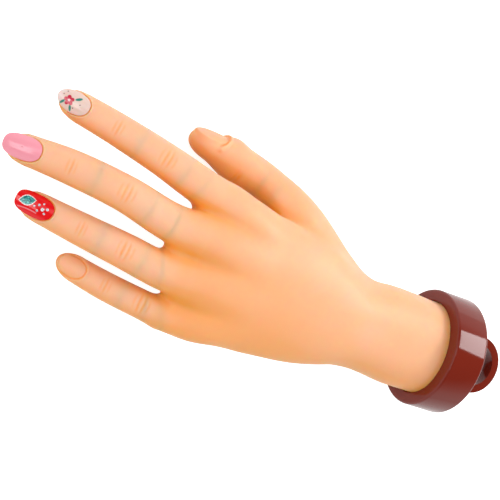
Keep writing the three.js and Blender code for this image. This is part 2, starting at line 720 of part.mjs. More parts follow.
function addPalm() {
  hand.add(toMesh('palm_skin', palmSkin(), materials.skin()));
  hand.add(toMesh('armature_core', armatureCore(), materials.core()));
  hand.add(toMesh('wrist_plug', wristPlug(), materials.core()));
  Object.keys(palmWires).forEach((name) => {
    const wire = toMesh(`${name}_wire_palm`, toSolid(bar(0, palmWireEnd(name), wireRadius)), materials.wire());
    wire.applyMatrix4(alongWire(palmWires[name]));
    hand.add(wire);
  });
}

function addBase() {
  hand.add(toMesh('base_collar', baseCollar(), materials.base()));
  hand.add(toMesh('post_eye', postEye(), materials.base()));
  ['lower', 'upper'].forEach((word, order) => {
    const piece = toMesh(`plug_screw_${word}`,
      screw(plugScrewHeadRadius, plugScrewHeadDepth, plugScrewRadius, plugScrewLength), materials.screw());
    piece.position.set(clearance, 0, collarAxisHeight + (order - 0.5) * plugScrewSpacing);
    hand.add(piece);
  });
  ['thumb_side', 'little_side'].forEach((word, order) => {
    const piece = toMesh(`eye_screw_${word}`,
      screw(eyeScrewHeadRadius, eyeScrewHeadDepth, eyeScrewRadius, eyeScrewLength), materials.screw());
    piece.rotation.set(0, 0, Math.PI);
    piece.position.set(collarWall - clearance / 2, (order - 0.5) * eyeScrewSpacing, collarAxisHeight);
    hand.add(piece);
  });
}

function addFinger(name, finger, lengthNames) {
  let parent = hand;
  lengthNames.forEach((lengthName, place) => {
    const group = new THREE.Group();
    group.name = `${name}_${lengthName}`;
    group.applyMatrix4(jointFrame(finger, place));
    parent.add(group);
    group.add(toMesh(`${name}_skin_${lengthName}`, lengthSkin(finger, place), materials.skin()));
    const { from, to } = wireSpan(finger, place);
    group.add(toMesh(`${name}_wire_${lengthName}`, toSolid(bar(from, to, wireRadius)), materials.wire()));
    parent = group;
  });
  if (finger.nail.pressOn) {
    const nail = toSolid(nailGeometry(finger.nail, finger, 0, 0, 0));
    parent.add(toMesh(`${name}_press_on_nail`, nail, materials[`${name}Nail`]()));
  }
}

addPalm();
addBase();
Object.entries(fingers).forEach(([name, finger]) => addFinger(name, finger, ['proximal', 'middle', 'tip']));
addFinger('thumb', thumb, ['proximal', 'tip']);

// The origin is under the middle of the hand, on the surface that it lies on
hand.updateMatrixWorld(true);
const extent = new THREE.Box3().setFromObject(hand, true);
const middle = extent.getCenter(new THREE.Vector3());
hand.position.set(-middle.x, -middle.y, -extent.min.z);

export default hand;
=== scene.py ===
# Nail practice hand: a soft vinyl left hand with press-on nails, set in a round plastic collar.
# The skin is drawn as rough forms, remeshed into one surface and pressed onto the smooth form
# of the hand. Hand sizes are in millimetres from the collar's back, and the scene is in metres.
import json
import math

import bpy
import numpy as np
from mathutils import Matrix, Vector

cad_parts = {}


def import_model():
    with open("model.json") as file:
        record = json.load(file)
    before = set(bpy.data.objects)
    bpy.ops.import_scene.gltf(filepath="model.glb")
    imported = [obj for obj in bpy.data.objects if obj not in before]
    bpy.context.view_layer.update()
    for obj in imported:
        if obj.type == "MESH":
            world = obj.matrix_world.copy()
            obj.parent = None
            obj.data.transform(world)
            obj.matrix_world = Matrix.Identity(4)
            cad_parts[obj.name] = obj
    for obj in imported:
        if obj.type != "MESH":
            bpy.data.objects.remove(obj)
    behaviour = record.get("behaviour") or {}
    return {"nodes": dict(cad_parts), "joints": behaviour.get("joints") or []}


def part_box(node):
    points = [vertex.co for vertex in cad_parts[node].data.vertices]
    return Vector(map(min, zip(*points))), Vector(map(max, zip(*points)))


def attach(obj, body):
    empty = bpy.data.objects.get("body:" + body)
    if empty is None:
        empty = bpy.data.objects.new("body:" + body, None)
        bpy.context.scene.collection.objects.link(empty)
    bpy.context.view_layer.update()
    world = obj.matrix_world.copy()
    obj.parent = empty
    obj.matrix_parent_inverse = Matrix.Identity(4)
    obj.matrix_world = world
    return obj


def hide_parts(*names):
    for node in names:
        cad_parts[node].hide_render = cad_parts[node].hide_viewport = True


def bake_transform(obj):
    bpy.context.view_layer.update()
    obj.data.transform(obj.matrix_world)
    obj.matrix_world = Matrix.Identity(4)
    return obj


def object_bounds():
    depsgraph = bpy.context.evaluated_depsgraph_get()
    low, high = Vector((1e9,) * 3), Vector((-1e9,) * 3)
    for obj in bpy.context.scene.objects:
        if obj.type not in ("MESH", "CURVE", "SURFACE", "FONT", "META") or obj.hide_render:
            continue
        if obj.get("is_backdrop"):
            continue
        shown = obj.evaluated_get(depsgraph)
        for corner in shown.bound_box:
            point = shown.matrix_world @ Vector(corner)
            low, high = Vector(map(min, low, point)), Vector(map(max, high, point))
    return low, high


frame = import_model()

MM = 0.001


def plain_bounds():
    bpy.context.view_layer.update()
    return [list(corner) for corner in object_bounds()]


cad_bounds = plain_bounds()
collar_low, collar_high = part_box("base_collar")

# On the surface, straight below the middle of the collar's back face
ORIGIN = np.array([collar_low.x, (collar_low.y + collar_high.y) / 2, 0.0])
COLLAR_RADIUS = (collar_high.z - collar_low.z) / 2 / MM
COLLAR_LENGTH = (collar_high.x - collar_low.x) / MM

# Main sizes of the hand, in millimetres
PALM_LENGTH = 150
PALM_WIDTH = 70
KNUCKLE_HEIGHT = 31
KNUCKLE_DEPTH = 25
WRIST_WIDTH = 41.4
WRIST_DEPTH = 39.4
WRIST_START = 4.9
VOXEL = 0.575
NAIL_THICKNESS = 0.85
NAIL_RIM = 0.26
NAIL_GAP = 0.03
NAIL_REACH = 1.25
PRESSED_NAILS = ("index", "middle", "ring")

# Each finger: where its bone starts in the palm and where its knuckle rises, as shares of the
# palm's sizes to the side, forward and up. Then widths and depths at these two, at its three
# joints and where its tip rounds off, the tip's length and shift to the side, and each joint's
# shift. Its skin parts twice past the root and once past the middle knuckle, at these distances
# and slants in degrees.
FINGERS = {
    "index": {
        "carpal": (-0.11, 0.62, 0.93), "knuckle": (-0.425, 0.873, 0.985),
        "widths": (13.2, 15.0, 15.6, 14.5, 13.5, 12.8), "depths": (13.9, 17.4, 15.6, 14.0, 12.6, 11.2),
        "tip_length": 26.2, "tip_shift": -1.0, "shifts": (-0.4, 0.1, 0.25),
        "cuts": ((3.2, -8), (12.5, 0), (12.0, 0)),
        "nail": {"length": 14.0, "width": 9.0, "taper": 0.3, "squareness": (2.3, 2.1), "aside": -0.3},
    },
    "middle": {
        "carpal": (-0.05, 0.64, 0.98), "knuckle": (-0.214, 0.905, 1.05),
        "widths": (16.4, 18.8, 16.5, 15.1, 14.4, 13.0), "depths": (14.3, 17.9, 16.0, 14.6, 13.2, 11.6),
        "tip_length": 27.4, "tip_shift": -0.2, "shifts": (-0.4, 0, -0.1),
        "cuts": ((3.0, 0), (14.5, 0), (12.5, 0)),
        "nail": {"length": 16.0, "width": 9.8, "taper": 0.2, "squareness": (2.5, 2.7), "aside": -0.4},
    },
    "ring": {
        "carpal": (0.02, 0.65, 0.93), "knuckle": (0.057, 0.914, 0.985),
        "widths": (15.6, 18.0, 15.8, 14.8, 13.6, 12.5), "depths": (13.8, 17.2, 15.4, 14.0, 12.6, 11.3),
        "tip_length": 27.9, "tip_shift": -1.3, "shifts": (0.2, 0, 0),
        "cuts": ((3.4, 18), (11.6, 0), (10.2, 0)),
        "nail": {"length": 16.3, "width": 9.5, "taper": 0.12, "squareness": (2.5, 3.0)},
    },
    "little": {
        "carpal": (0.08, 0.62, 0.82), "knuckle": (0.29, 0.86, 0.87),
        "widths": (12.4, 14.2, 13.0, 12.35, 12.0, 11.3), "depths": (11.5, 14.4, 12.9, 12.0, 11.2, 10.0),
        "tip_length": 22.4, "tip_shift": -1.05, "shifts": (0, 0, -0.2),
        "cuts": ((4.4, 31), (10.9, 15), (8.4, 0)),
        "nail": {"length": 11.6, "width": 8.4, "taper": 0.1, "squareness": (2.3, 2.4)},
    },
}

THUMB = {
    "carpal": (-0.13, 0.36, 0.6), "ball": (-0.363, 0.5, 0.53),
    "widths": (17.6, 19.4, 16.2, 16.0, 14.6), "depths": (13.0, 16.4, 14.0, 14.9, 12.2),
    "tip_length": 25.3, "tip_rise": 0.65, "tip_round": 0.42, "cuts": ((7.5, -14), (17.0, 0)),
    "nail": {"length": 14.0, "width": 13.0, "taper": 0.08, "squareness": (3.0, 2.4), "fall": 0.13,
             "drop": 1.1, "groove": 0.14, "fold": 0.6},
}

# The joints of each limb, and the lengths of skin that start at them
JOINT_WORDS = {name: ("root", "middle_knuckle", "end_knuckle") for name in FINGERS}
JOINT_WORDS["thumb"] = ("root", "knuckle")
LENGTHS = {name: ("proximal", "middle", "tip") for name in FINGERS}
LENGTHS["thumb"] = ("proximal", "tip")

# Share of the fingertip's length that rounds off
TIP_ROUND = 0.45

# How softly fingers run together, into the palm, and the thumb into the palm
FINGER_REACH, ROOT_REACH, THUMB_REACH = 2.6, 5.5, 8.0

# Sections of the palm from the wrist to the webs, as shares of the palm's sizes: forward, thumb
# edge, little-finger edge, height, depth, arch across, tilt to the thumb
PALM_SECTIONS = [
    (0.215, -0.304, 0.294, 0.86, 1.42, 0.0, 0.0),
    (0.29, -0.303, 0.277, 0.865, 1.33, 0.0, 0.0),
    (0.35, -0.287, 0.264, 0.872, 1.28, 0.0, 0.01),
    (0.395, -0.286, 0.266, 0.882, 1.26, 0.0, 0.01),
    (0.435, -0.32, 0.289, 0.892, 1.24, 0.01, 0.015),
    (0.52, -0.4, 0.333, 0.92, 1.2, 0.025, 0.04),
    (0.62, -0.45, 0.36, 0.945, 1.16, 0.045, 0.065),
    (0.72, -0.475, 0.381, 0.965, 1.1, 0.065, 0.08),
    (0.813, -0.505, 0.38, 0.985, 1.02, 0.085, 0.085),
    (0.9, -0.5, 0.36, 0.97, 0.84, 0.1, 0.08),
    (0.95, -0.45, 0.31, 0.94, 0.6, 0.1, 0.05),
]
PALM_NOSE = 4.5

# Muscle pads of the palm, then the webs of the middle finger and the thumb, and the muscle
# behind the thumb's web: middle, half sizes, turn about Z in degrees, soft reach
PALM_PADS = [
    ((73, -12.5, 20.5), (29, 13.5, 11.5), -22, 10),
    ((78, 12.0, 20.5), (32, 9.5, 9.5), 6, 9),
    ((131, -8, 23.5), (9, 30, 8.5), 8, 8),
    ((147.2, -5.5, 27.5), (6.2, 5.2, 5.6), 0, 3),
    ((100, -36, 19.5), (11.5, 6, 7), -25, 6),
    ((89, -32.7, 22), (15, 6.4, 9.5), -29, 6),
]

# Hollows between the bones on the back of the hand: from the web, to the wrist, and depth
PALM_HOLLOWS = [
    ((152, -23.5), (98, -20), 2.3),
    ((158, -5), (98, -5), 2.2),
    ((153, 13), (110, 15.5), 2.0),
]
HOLLOW_REACH = 5.2


def unit(vector):
    return np.asarray(vector, float) / np.linalg.norm(vector)


def to_hand(points):
    """Metres in the row frame to millimetres from the collar's back."""
    return (np.asarray(points, float) - ORIGIN) / MM


def to_row(points):
    return np.asarray(points, float) * MM + ORIGIN


def palm_point(side, forward, height):
    return np.array([PALM_LENGTH * forward, PALM_WIDTH * side, KNUCKLE_HEIGHT * height])


def joint(name):
    found = next(j for j in frame["joints"] if j["name"] == name)
    return to_hand(found["pos_m"]), unit(found["axis"])


def smooth_steps(share):
    share = np.clip(share, 0, 1)
    return share * share * (3 - 2 * share)


def bell(x):
    """1 at zero, falling softly to both sides."""
    return np.exp(-(x**2))


def turned(x, y, degrees):
    """Offsets along and across a direction that is turned from X by these degrees."""
    c, s = math.cos(math.radians(degrees)), math.sin(math.radians(degrees))
    return x * c + y * s, y * c - x * s


def distances_along(points):
    steps = np.linalg.norm(np.diff(np.array(points, float), axis=0), axis=1)
    return np.concatenate([[0], np.cumsum(steps)])


def eased(x, places, values):
    """Values between the given places, along a smooth curve through all of them."""
    places, values = np.asarray(places, float), np.asarray(values, float)
    slopes = np.gradient(values, places)
    x = np.clip(x, places[0], places[-1])
    i = np.clip(np.searchsorted(places, x, side="right") - 1, 0, len(places) - 2)
    step = places[i + 1] - places[i]
    t = (x - places[i]) / step
    near, far = values[i], values[i + 1]
    return (
        (2 * t**3 - 3 * t**2 + 1) * near + (t**3 - 2 * t**2 + t) * step * slopes[i]
        + (3 * t**2 - 2 * t**3) * far + (t**3 - t**2) * step * slopes[i + 1]
    )


def joined(a, b, reach):
    """Two forms run together with a soft fillet of about this reach."""
    share = np.clip(reach - np.abs(a - b), 0, None) / reach
    return np.minimum(a, b) - share**2 * reach / 4


def shell_distance(parts, sizes, power=2.0):
    """About how far a point is outside the oval with these half sizes, in millimetres."""
    ratios = [np.abs(part / size) for part, size in zip(parts, sizes)]
    size = np.maximum(sum(r**power for r in ratios) ** (1 / power), 0.05)
    slope = np.sqrt(sum((r / s) ** 2 for r, s in zip(ratios, sizes)))
    return (size - 1) * size / np.maximum(slope, 1e-4)


class Limb:
    """A finger or the thumb: a smooth centreline with a section that swells and narrows."""

    def __init__(self, name, points, sides, sizes, pads, back_pads=()):
        self.name, self.pads, self.back_pads = name, pads, back_pads
        points, sides = np.array(points, float), np.array(sides, float)
        marks = distances_along(points)
        self.marks, self.length = marks, marks[-1]
        self.along = np.linspace(0, self.length, int(self.length / 1.2) + 2)
        self.line = np.stack([eased(self.along, marks, points[:, k]) for k in range(3)], axis=1)
        self.tangents = np.gradient(self.line, axis=0)
        self.tangents /= np.linalg.norm(self.tangents, axis=1)[:, None]
        side = np.stack([np.interp(self.along, marks, sides[:, k]) for k in range(3)], axis=1)
        side -= (side * self.tangents).sum(1)[:, None] * self.tangents
        self.sides = side / np.linalg.norm(side, axis=1)[:, None]
        self.backs = np.cross(self.tangents, self.sides)
        self.cap = sizes["tip_length"] * sizes.get("tip_round", TIP_ROUND)
        self.cap_start = self.length - self.cap
        self.width_marks = np.append(marks[:-1], self.cap_start)
        self.half_widths = np.array(sizes["widths"], float) / 2
        self.half_depths = np.array(sizes["depths"], float) / 2

    def place(self, points):
        """Distance along the limb, to its side and to its back, for each point."""
        near = points.astype(np.float32)
        gaps = 0
        for k in range(3):
            gaps = gaps + (near[:, k, None] - self.line[None, :, k].astype(np.float32)) ** 2
        nearest = gaps.argmin(1)
        offset = points - self.line[nearest]
        along = self.along[nearest] + (offset * self.tangents[nearest]).sum(1)
        offset = points - self.point(along)
        side = (offset * self.sampled(self.sides, along)).sum(1)
        back = (offset * self.sampled(self.backs, along)).sum(1)
        return along, side, back

    def point(self, along, side=0, back=0):
        """The place at these distances along, to the side and to the back."""
        along = np.atleast_1d(np.asarray(along, float))
        beyond = np.clip(along - self.length, 0, None)[:, None] * self.tangents[-1]
        before = np.clip(along, None, 0)[:, None] * self.tangents[0]
        side, back = (np.broadcast_to(v, along.shape)[:, None] for v in (side, back))
        return (self.sampled(self.line, along) + beyond + before
                + side * self.sampled(self.sides, along) + back * self.sampled(self.backs, along))

    def closeness(self, points):
        """Along, side and back, with how many half sizes each point lies off the centreline."""
        along, side, back = self.place(points)
        width, depth = self.half_sizes(along)
        return along, side, back, np.hypot(side / width, back / depth)

    def sampled(self, table, along):
        return np.stack([np.interp(along, self.along, table[:, k]) for k in range(3)], axis=1)

    def half_sizes(self, along):
        width = eased(along, self.width_marks, self.half_widths)
        depth = eased(along, self.width_marks, self.half_depths)
        return width, depth

    def distance(self, points):
        along, side, back = self.place(points)
        width, depth = self.half_sizes(along)
        palm_side = smooth_steps(0.5 - back / (2 * depth))
        for pads, share in ((self.pads, palm_side), (self.back_pads, 1 - palm_side)):
            for centre, reach, rise in pads:
                depth = depth + rise * bell((along - centre) / reach) * share
        past = np.clip(along - self.cap_start, 0, None)
        before = np.clip(-along, 0, None)
        return shell_distance([side, back, past, before], [width, depth, self.cap, depth], 2.15)


def finger_limb(name, finger):
    joints = [joint(f"{name}_{word}") for word in JOINT_WORDS[name]]
    end, end_side = joints[-1]
    way = tip_direction(f"{name}_wire_tip", end)
    tip = end + way * finger["tip_length"] + end_side * finger["tip_shift"]
    places = [palm_point(*finger["carpal"]), palm_point(*finger["knuckle"])]
    places += [place + side * shift for (place, side), shift in zip(joints, finger["shifts"])] + [tip]
    sides = [joints[0][1]] * 2 + [side for _, side in joints] + [end_side]
    marks = distances_along(places)
    pads = [
        ((marks[2] + marks[3]) / 2 + 1, 6.5, 1.0),
        (marks[3], 2.6, -0.5),
        ((marks[3] + marks[4]) / 2, 5.5, 0.9),
        (marks[4], 2.4, -0.45),
        (marks[4] + finger["tip_length"] * 0.5, 6.5, 0.7),
    ]
    return Limb(name, places, sides, finger, pads)


def tip_direction(wire, start):
    low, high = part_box(wire)
    middle = to_hand((np.array(low) + np.array(high)) / 2)
    return unit(middle - start)


def thumb_limb():
    root, knuckle = joint("thumb_root"), joint("thumb_knuckle")
    way = tip_direction("thumb_wire_tip", knuckle[0])
    tip = knuckle[0] + way * THUMB["tip_length"] + np.cross(way, -knuckle[1]) * THUMB["tip_rise"]
    places = [palm_point(*THUMB["carpal"]), palm_point(*THUMB["ball"]), root[0], knuckle[0], tip]
    sides = [-root[1]] * 3 + [-knuckle[1]] * 2
    marks = distances_along(places)
    pads = [
        (marks[3] - 12, 7, 1.0),
        (marks[3] + 1, 8, 1.9),
        (marks[3] + 9, 6, 0.5),
    ]
    return Limb("thumb", places, sides, THUMB, pads, [(marks[3] + 5.5, 4.8, 1.5)])


LIMBS = {name: finger_limb(name, finger) for name, finger in FINGERS.items()}
LIMBS["thumb"] = thumb_limb()
SIZES = {**FINGERS, "thumb": THUMB}


def palm_rows():
    wrist = (0.0, WRIST_WIDTH / 2, COLLAR_RADIUS, WRIST_DEPTH / 2, 0.0, 0.0)
    rows = [(x, *wrist) for x in (WRIST_START, COLLAR_LENGTH + 2)]
    for forward, thumb, little, height, depth, arch, tilt in PALM_SECTIONS:
        rows.append((
            PALM_LENGTH * forward, PALM_WIDTH * (thumb + little) / 2,
            PALM_WIDTH * (little - thumb) / 2, KNUCKLE_HEIGHT * height,
            KNUCKLE_DEPTH * depth / 2, PALM_WIDTH * arch / 2, PALM_WIDTH * tilt / 2,
        ))
    return np.array(rows)


PALM = palm_rows()


def palm_distance(points):
    x, y, z = points.T
    middle, half, height, depth, arch, tilt = (
        eased(x, PALM[:, 0], PALM[:, k]) for k in range(1, 7))
    across = (y - middle) / half
    lift = z - height + arch * across**2 + tilt * across
    ahead = np.clip(x - PALM[-1, 0], 0, None)
    return shell_distance([y - middle, lift, ahead], [half, depth, PALM_NOSE], 2.2)


def hollow_depth(points):
    """How far the back of the hand sinks between its bones."""
    total = np.zeros(len(points))
    for web, end, depth in PALM_HOLLOWS:
        way = np.array(end, float) - web
        offset = points[:, :2] - web
        share = offset @ way / (way @ way)
        gap = np.linalg.norm(offset - np.clip(share, 0, 1)[:, None] * way, axis=1)
        total += depth * smooth_steps(1.1 - share) * bell(gap / HOLLOW_REACH)
    return total * smooth_steps((points[:, 2] - 24) / 9)


def ball_distance(points, centre, sizes, turn):
    x, y, z = (points - np.array(centre)).T
    return shell_distance([*turned(x, y, turn), z], sizes)


# Farther than any place from a finger, in millimetres
FAR = 99.0


def near(points, limb, margin=16):
    low, high = limb.line.min(0) - margin, limb.line.max(0) + margin
    return ((points > low) & (points < high)).all(1)


def hand_distance(points):
    """About how far each point is outside the whole hand, in millimetres."""
    result = palm_distance(points) + hollow_depth(points)
    for centre, sizes, turn, reach in PALM_PADS:
        result = joined(result, ball_distance(points, centre, sizes, turn), reach)
    fingers = np.full(len(points), FAR)
    for name in FINGERS:
        add_limb(fingers, points, LIMBS[name], FINGER_REACH)
    result = joined(result, fingers, ROOT_REACH)
    add_limb(result, points, LIMBS["thumb"], THUMB_REACH)
    return result


def add_limb(result, points, limb, reach):
    some = near(points, limb)
    if some.any():
        result[some] = joined(result[some], limb.distance(points[some]), reach)


# Mesh tools

def activate(obj):
    bpy.ops.object.select_all(action="DESELECT")
    obj.select_set(True)
    bpy.context.view_layer.objects.active = obj


def apply_modifier(obj, kind, **settings):
    activate(obj)
    modifier = obj.modifiers.new(kind.title(), kind)
    for key, value in settings.items():
        setattr(modifier, key, value)
    bpy.ops.object.modifier_apply(modifier=modifier.name)


def join_pieces(objs, name):
    activate(objs[0])
    for obj in objs:
        obj.select_set(True)
    bpy.ops.object.join()
    whole = bpy.context.object
    whole.name = whole.data.name = name
    bpy.ops.object.transform_apply(location=True, rotation=True, scale=True)
    return whole


def add_form(operator, at, turn=(0, 0, 0), scale=(1, 1, 1), **settings):
    """Adds a form at a place in metres, with everything else deselected and its turn applied."""
    bpy.ops.object.select_all(action="DESELECT")
    operator(location=Vector(at), rotation=turn, **settings)
    made = bpy.context.object
    made.scale = scale
    bpy.ops.object.transform_apply(location=True, rotation=True, scale=True)
    return made


def copy_piece(piece, name):
    """A copy of a piece, with a mesh of its own."""
    activate(piece)
    bpy.ops.object.duplicate(linked=False)
    made = bpy.context.object
    made.name = made.data.name = name
    return made


def set_material(piece, material):
    piece.data.materials.clear()
    piece.data.materials.append(material)


def combine(obj, other, operation="DIFFERENCE"):
    """Cuts one form out of another, or adds it, and removes it."""
    apply_modifier(obj, "BOOLEAN", operation=operation, object=other, solver="EXACT")
    bpy.data.objects.remove(other)


def round_edges(obj, width, segments, angle):
    """Rounds the edges where the surface turns by more than this angle."""
    apply_modifier(obj, "BEVEL", width=width * MM, segments=segments, limit_method="ANGLE",
                   angle_limit=math.radians(angle))


def read_triples(items, field):
    values = np.empty(len(items) * 3)
    items.foreach_get(field, values)
    return values.reshape(-1, 3)


def corners(obj):
    return read_triples(obj.data.vertices, "co")


def set_corners(obj, points):
    obj.data.vertices.foreach_set("co", np.ascontiguousarray(points, float).ravel())
    obj.data.update()


def corner_normals(obj):
    return read_triples(obj.data.vertex_normals, "vector")


def pick(obj, chosen):
    """Selects the chosen corners, with the edges and faces that lie wholly among them."""
    mesh = obj.data
    chosen = np.zeros(len(mesh.vertices), bool) | chosen
    mesh.vertices.foreach_set("select", chosen)
    ends = np.empty(len(mesh.edges) * 2, int)
    mesh.edges.foreach_get("vertices", ends)
    mesh.edges.foreach_set("select", chosen[ends.reshape(-1, 2)].all(1))
    corner = np.empty(len(mesh.loops), int)
    mesh.loops.foreach_get("vertex_index", corner)
    starts = np.empty(len(mesh.polygons), int)
    mesh.polygons.foreach_get("loop_start", starts)
    mesh.polygons.foreach_set("select", np.logical_and.reduceat(chosen[corner], starts))


def edit(obj, chosen, *steps):
    """Runs edit-mode steps on the chosen corners, or on all of them where chosen is True."""
    activate(obj)
    pick(obj, chosen)
    bpy.ops.object.mode_set(mode="EDIT")
    for operator, settings in steps:
        operator(**settings)
    bpy.ops.object.mode_set(mode="OBJECT")


def set_attribute(obj, name, values, kind="FLOAT"):
    attribute = obj.data.attributes.new(name, kind, "POINT")
    field = "vector" if kind == "FLOAT_VECTOR" else "value"
    attribute.data.foreach_set(field, np.ascontiguousarray(values, float).ravel())


# Rough forms of the hand

def rough_limb(limb):
    """A ball at each step of the limb, a little slimmer than it, joined by tapered bars."""
    balls, bars = [], []
    last, count, slimmer = limb.length - limb.cap * 0.75, 9, 0.93
    for along in np.linspace(0, last, count):
        at = limb.sampled(limb.line, np.array([along]))[0]
        width, depth = limb.half_sizes(np.array([along]))
        radius = float(min(width[0], depth[0])) * slimmer * MM
        bpy.ops.mesh.primitive_uv_sphere_add(
            segments=20, ring_count=12, radius=radius, location=Vector(to_row(at)))
        balls.append(bpy.context.object)
    for a, b in zip(balls, balls[1:]):
        way = b.location - a.location
        bpy.ops.mesh.primitive_cone_add(
            vertices=20, radius1=a.dimensions.x / 2, radius2=b.dimensions.x / 2,
            depth=way.length, location=(a.location + b.location) / 2,
            rotation=way.to_track_quat("Z", "Y").to_euler())
        bars.append(bpy.context.object)
    return join_pieces(balls + bars, f"rough_{limb.name}")


def rough_palm():
    """A closed ring of corners, drawn out section by section from the wrist to the webs."""
    first = PALM[0]
    start = Vector(to_row((first[0], first[1], first[3])))
    palm = add_form(bpy.ops.mesh.primitive_circle_add, start, (0, math.pi / 2, 0),
                    vertices=36, radius=MM, fill_type="NGON")
    palm.name = "rough_palm"
    steps, scale = [], (1.0, 1.0)
    for x, y, half, height, depth, _, _ in PALM:
        place = Vector(to_row((x, y, height)))
        if x > first[0]:
            steps.append((bpy.ops.mesh.extrude_region_move, {
                "TRANSFORM_OT_translate": {"value": place - start}}))
        steps.append((bpy.ops.transform.resize, {
            "value": (1, half / scale[0], depth / scale[1]), "center_override": place}))
        scale, start = (half, depth), place
    edit(palm, True, *steps)
    edit(palm, True, (bpy.ops.mesh.normals_make_consistent, {"inside": False}))
    return palm


def press(obj, rounds):
    """Moves each corner along its normal until it lies on the form of the hand."""
    for _ in range(rounds):
        points, ways = to_hand(corners(obj)), corner_normals(obj)
        here = hand_distance(points)
        step = 0.2
        slope = (hand_distance(points + ways * step) - here) / step
        move = np.clip(-here / np.clip(slope, 0.35, 2), -1.5, 1.5)
        points += ways * move[:, None]
        points[:, 0] = np.maximum(points[:, 0], WRIST_START)
        set_corners(obj, to_row(points))


def whole_skin():
    """One surface over all the rough forms, pressed on coarsely and then finely."""
    forms = [rough_palm()] + [rough_limb(limb) for limb in LIMBS.values()]
    skin = join_pieces(forms, "hand_skin")
    for voxel, smoothing in ((1.6, 12), (VOXEL, 3)):
        apply_modifier(skin, "REMESH", mode="VOXEL", voxel_size=voxel * MM)
        apply_modifier(skin, "SMOOTH", factor=0.5, iterations=smoothing)
        for _ in range(4):
            press(skin, 1)
            apply_modifier(skin, "SMOOTH", factor=0.5, iterations=smoothing // 3 + 1)
        press(skin, 3)
    return skin


# Nails: their outline and top, in the limb's own directions

def nail_span(name):
    """Where the nail starts and ends along its limb."""
    limb, nail = LIMBS[name], SIZES[name]["nail"]
    end = limb.length + (NAIL_REACH if name in PRESSED_NAILS else -NAIL_THICKNESS)
    return end - nail["length"], end


def nail_half_width(name, share):
    nail = SIZES[name]["nail"]
    return nail["width"] / 2 * (1 + nail["taper"] * (0.5 - share) / 2)


def nail_top(name, along, side):
    """Height of the nail's top over the limb's centreline."""
    limb, nail = LIMBS[name], SIZES[name]["nail"]
    start, end = nail_span(name)
    side = side - nail.get("aside", 0)
    share = np.clip((along - start) / (end - start), -0.2, 1.2)
    _, depth = limb.half_sizes(np.array([start]))
    proud = 0.35 if name in PRESSED_NAILS else -0.1
    fall = nail.get("fall", 0.1) * share**2
    drop = nail.get("drop", 0) * np.clip((share - 0.7) / 0.3, 0, 1) ** 2
    radius = nail["width"] * (0.68 if name in PRESSED_NAILS else 0.74)
    across = np.clip(np.abs(side), 0, radius * 0.9)
    return depth[0] + proud - nail["length"] * fall - drop - radius + np.sqrt(radius**2 - across**2)


def nail_edge_distance(name, along, side):
    """About how far a place is outside the nail's outline, and its share of the nail's length."""
    nail = SIZES[name]["nail"]
    start, end = nail_span(name)
    side = side - nail.get("aside", 0)
    share = (along - start) / (end - start)
    x, y = np.abs(2 * share - 1) + 1e-6, np.abs(side) / nail_half_width(name, share) + 1e-6
    power = np.where(share < 0.5, *nail["squareness"])
    ratio = (x**power + y**power) ** (1 / power)
    slope = np.hypot((x / ratio) ** (power - 1) * 2 / (end - start),
                     (y / ratio) ** (power - 1) / nail_half_width(name, share))
    return (ratio - 1) / np.maximum(slope, 1e-3), share


# Sculpting: creases of the knuckles and palm, and the nails moulded in the skin

# Creases over a finger's two knuckles: place along it, depth and half length
BACK_CREASES = {
    3: [(-2.8, 0.2, 2.8), (-0.8, 0.34, 3.8), (1.2, 0.32, 3.8), (3.2, 0.2, 3.0)],
    4: [(-2.0, 0.18, 2.6), (-0.2, 0.3, 3.4), (1.6, 0.22, 2.8)],
}
PALM_CREASES = {2: [(6.5, 0.4)], 3: [(-0.9, 0.4), (1.0, 0.28)], 4: [(0, 0.38)]}
CREASE_WIDTH = 0.4

# Lines of the palm, seen from above: places ahead of the collar and to the side, and depth
PALM_LINES = [
    ([(117, -33), (108, -20), (92, -9), (72, -4), (53, -3)], 0.5),
    ([(118, -32), (111, -18), (102, -2), (91, 14), (84, 21)], 0.4),
    ([(118, 27), (121, 14), (128, 0), (137, -14), (143, -20)], 0.45),
    ([(46, -15), (44, 0), (46, 15)], 0.3),
    ([(50, -14), (48.5, 0), (50, 14)], 0.2),
]


def line_distance(points, line):
    """How far each point is from a bent line, seen from above, and its share of the way."""
    line = np.array(line, float)
    marks = np.linspace(0, 1, len(line))
    fine = np.linspace(0, 1, 60)
    path = np.stack([eased(fine, marks, line[:, k]) for k in range(2)], axis=1)
    gaps = ((points[:, None, :2] - path[None]) ** 2).sum(2)
    return np.sqrt(gaps.min(1)), fine[gaps.argmin(1)]


def crease_depths(limb, along, side, back, depth):
    """How deep the creases round the joints of a limb cut."""
    total = np.zeros(len(along))
    top = smooth_steps(back / depth * 1.6)
    thumb = limb.name == "thumb"
    under = smooth_steps(-back / depth * 1.5 - (0.25 if thumb else -0.05))
    for mark, creases in ({} if thumb else BACK_CREASES).items():
        for place, cut, half in creases:
            bend = place * (1 - 0.5 * np.clip(side / 7, -1, 1) ** 2)
            offset = along - limb.marks[mark] - bend
            total += top * cut * np.exp(-((offset / CREASE_WIDTH) ** 2) - (side / half) ** 4)
    for mark, creases in PALM_CREASES.items():
        if thumb and mark == 4:
            continue
        for place, cut in creases:
            offset = along - limb.marks[mark] - place
            total += under * cut * bell(offset / (CREASE_WIDTH * 1.5))
    return total


# Rings round a nail: height, distance outside its outline and half width
NAIL_GROOVE = (0.46, 0.32, 0.28)
MOULDED_FOLD = (0.26, 1.1, 0.7)
CUTICLE_FOLD = (0.2, 0.75, 0.4)


def ring(outside, height, distance, half_width):
    return height * bell((outside - distance) / half_width)


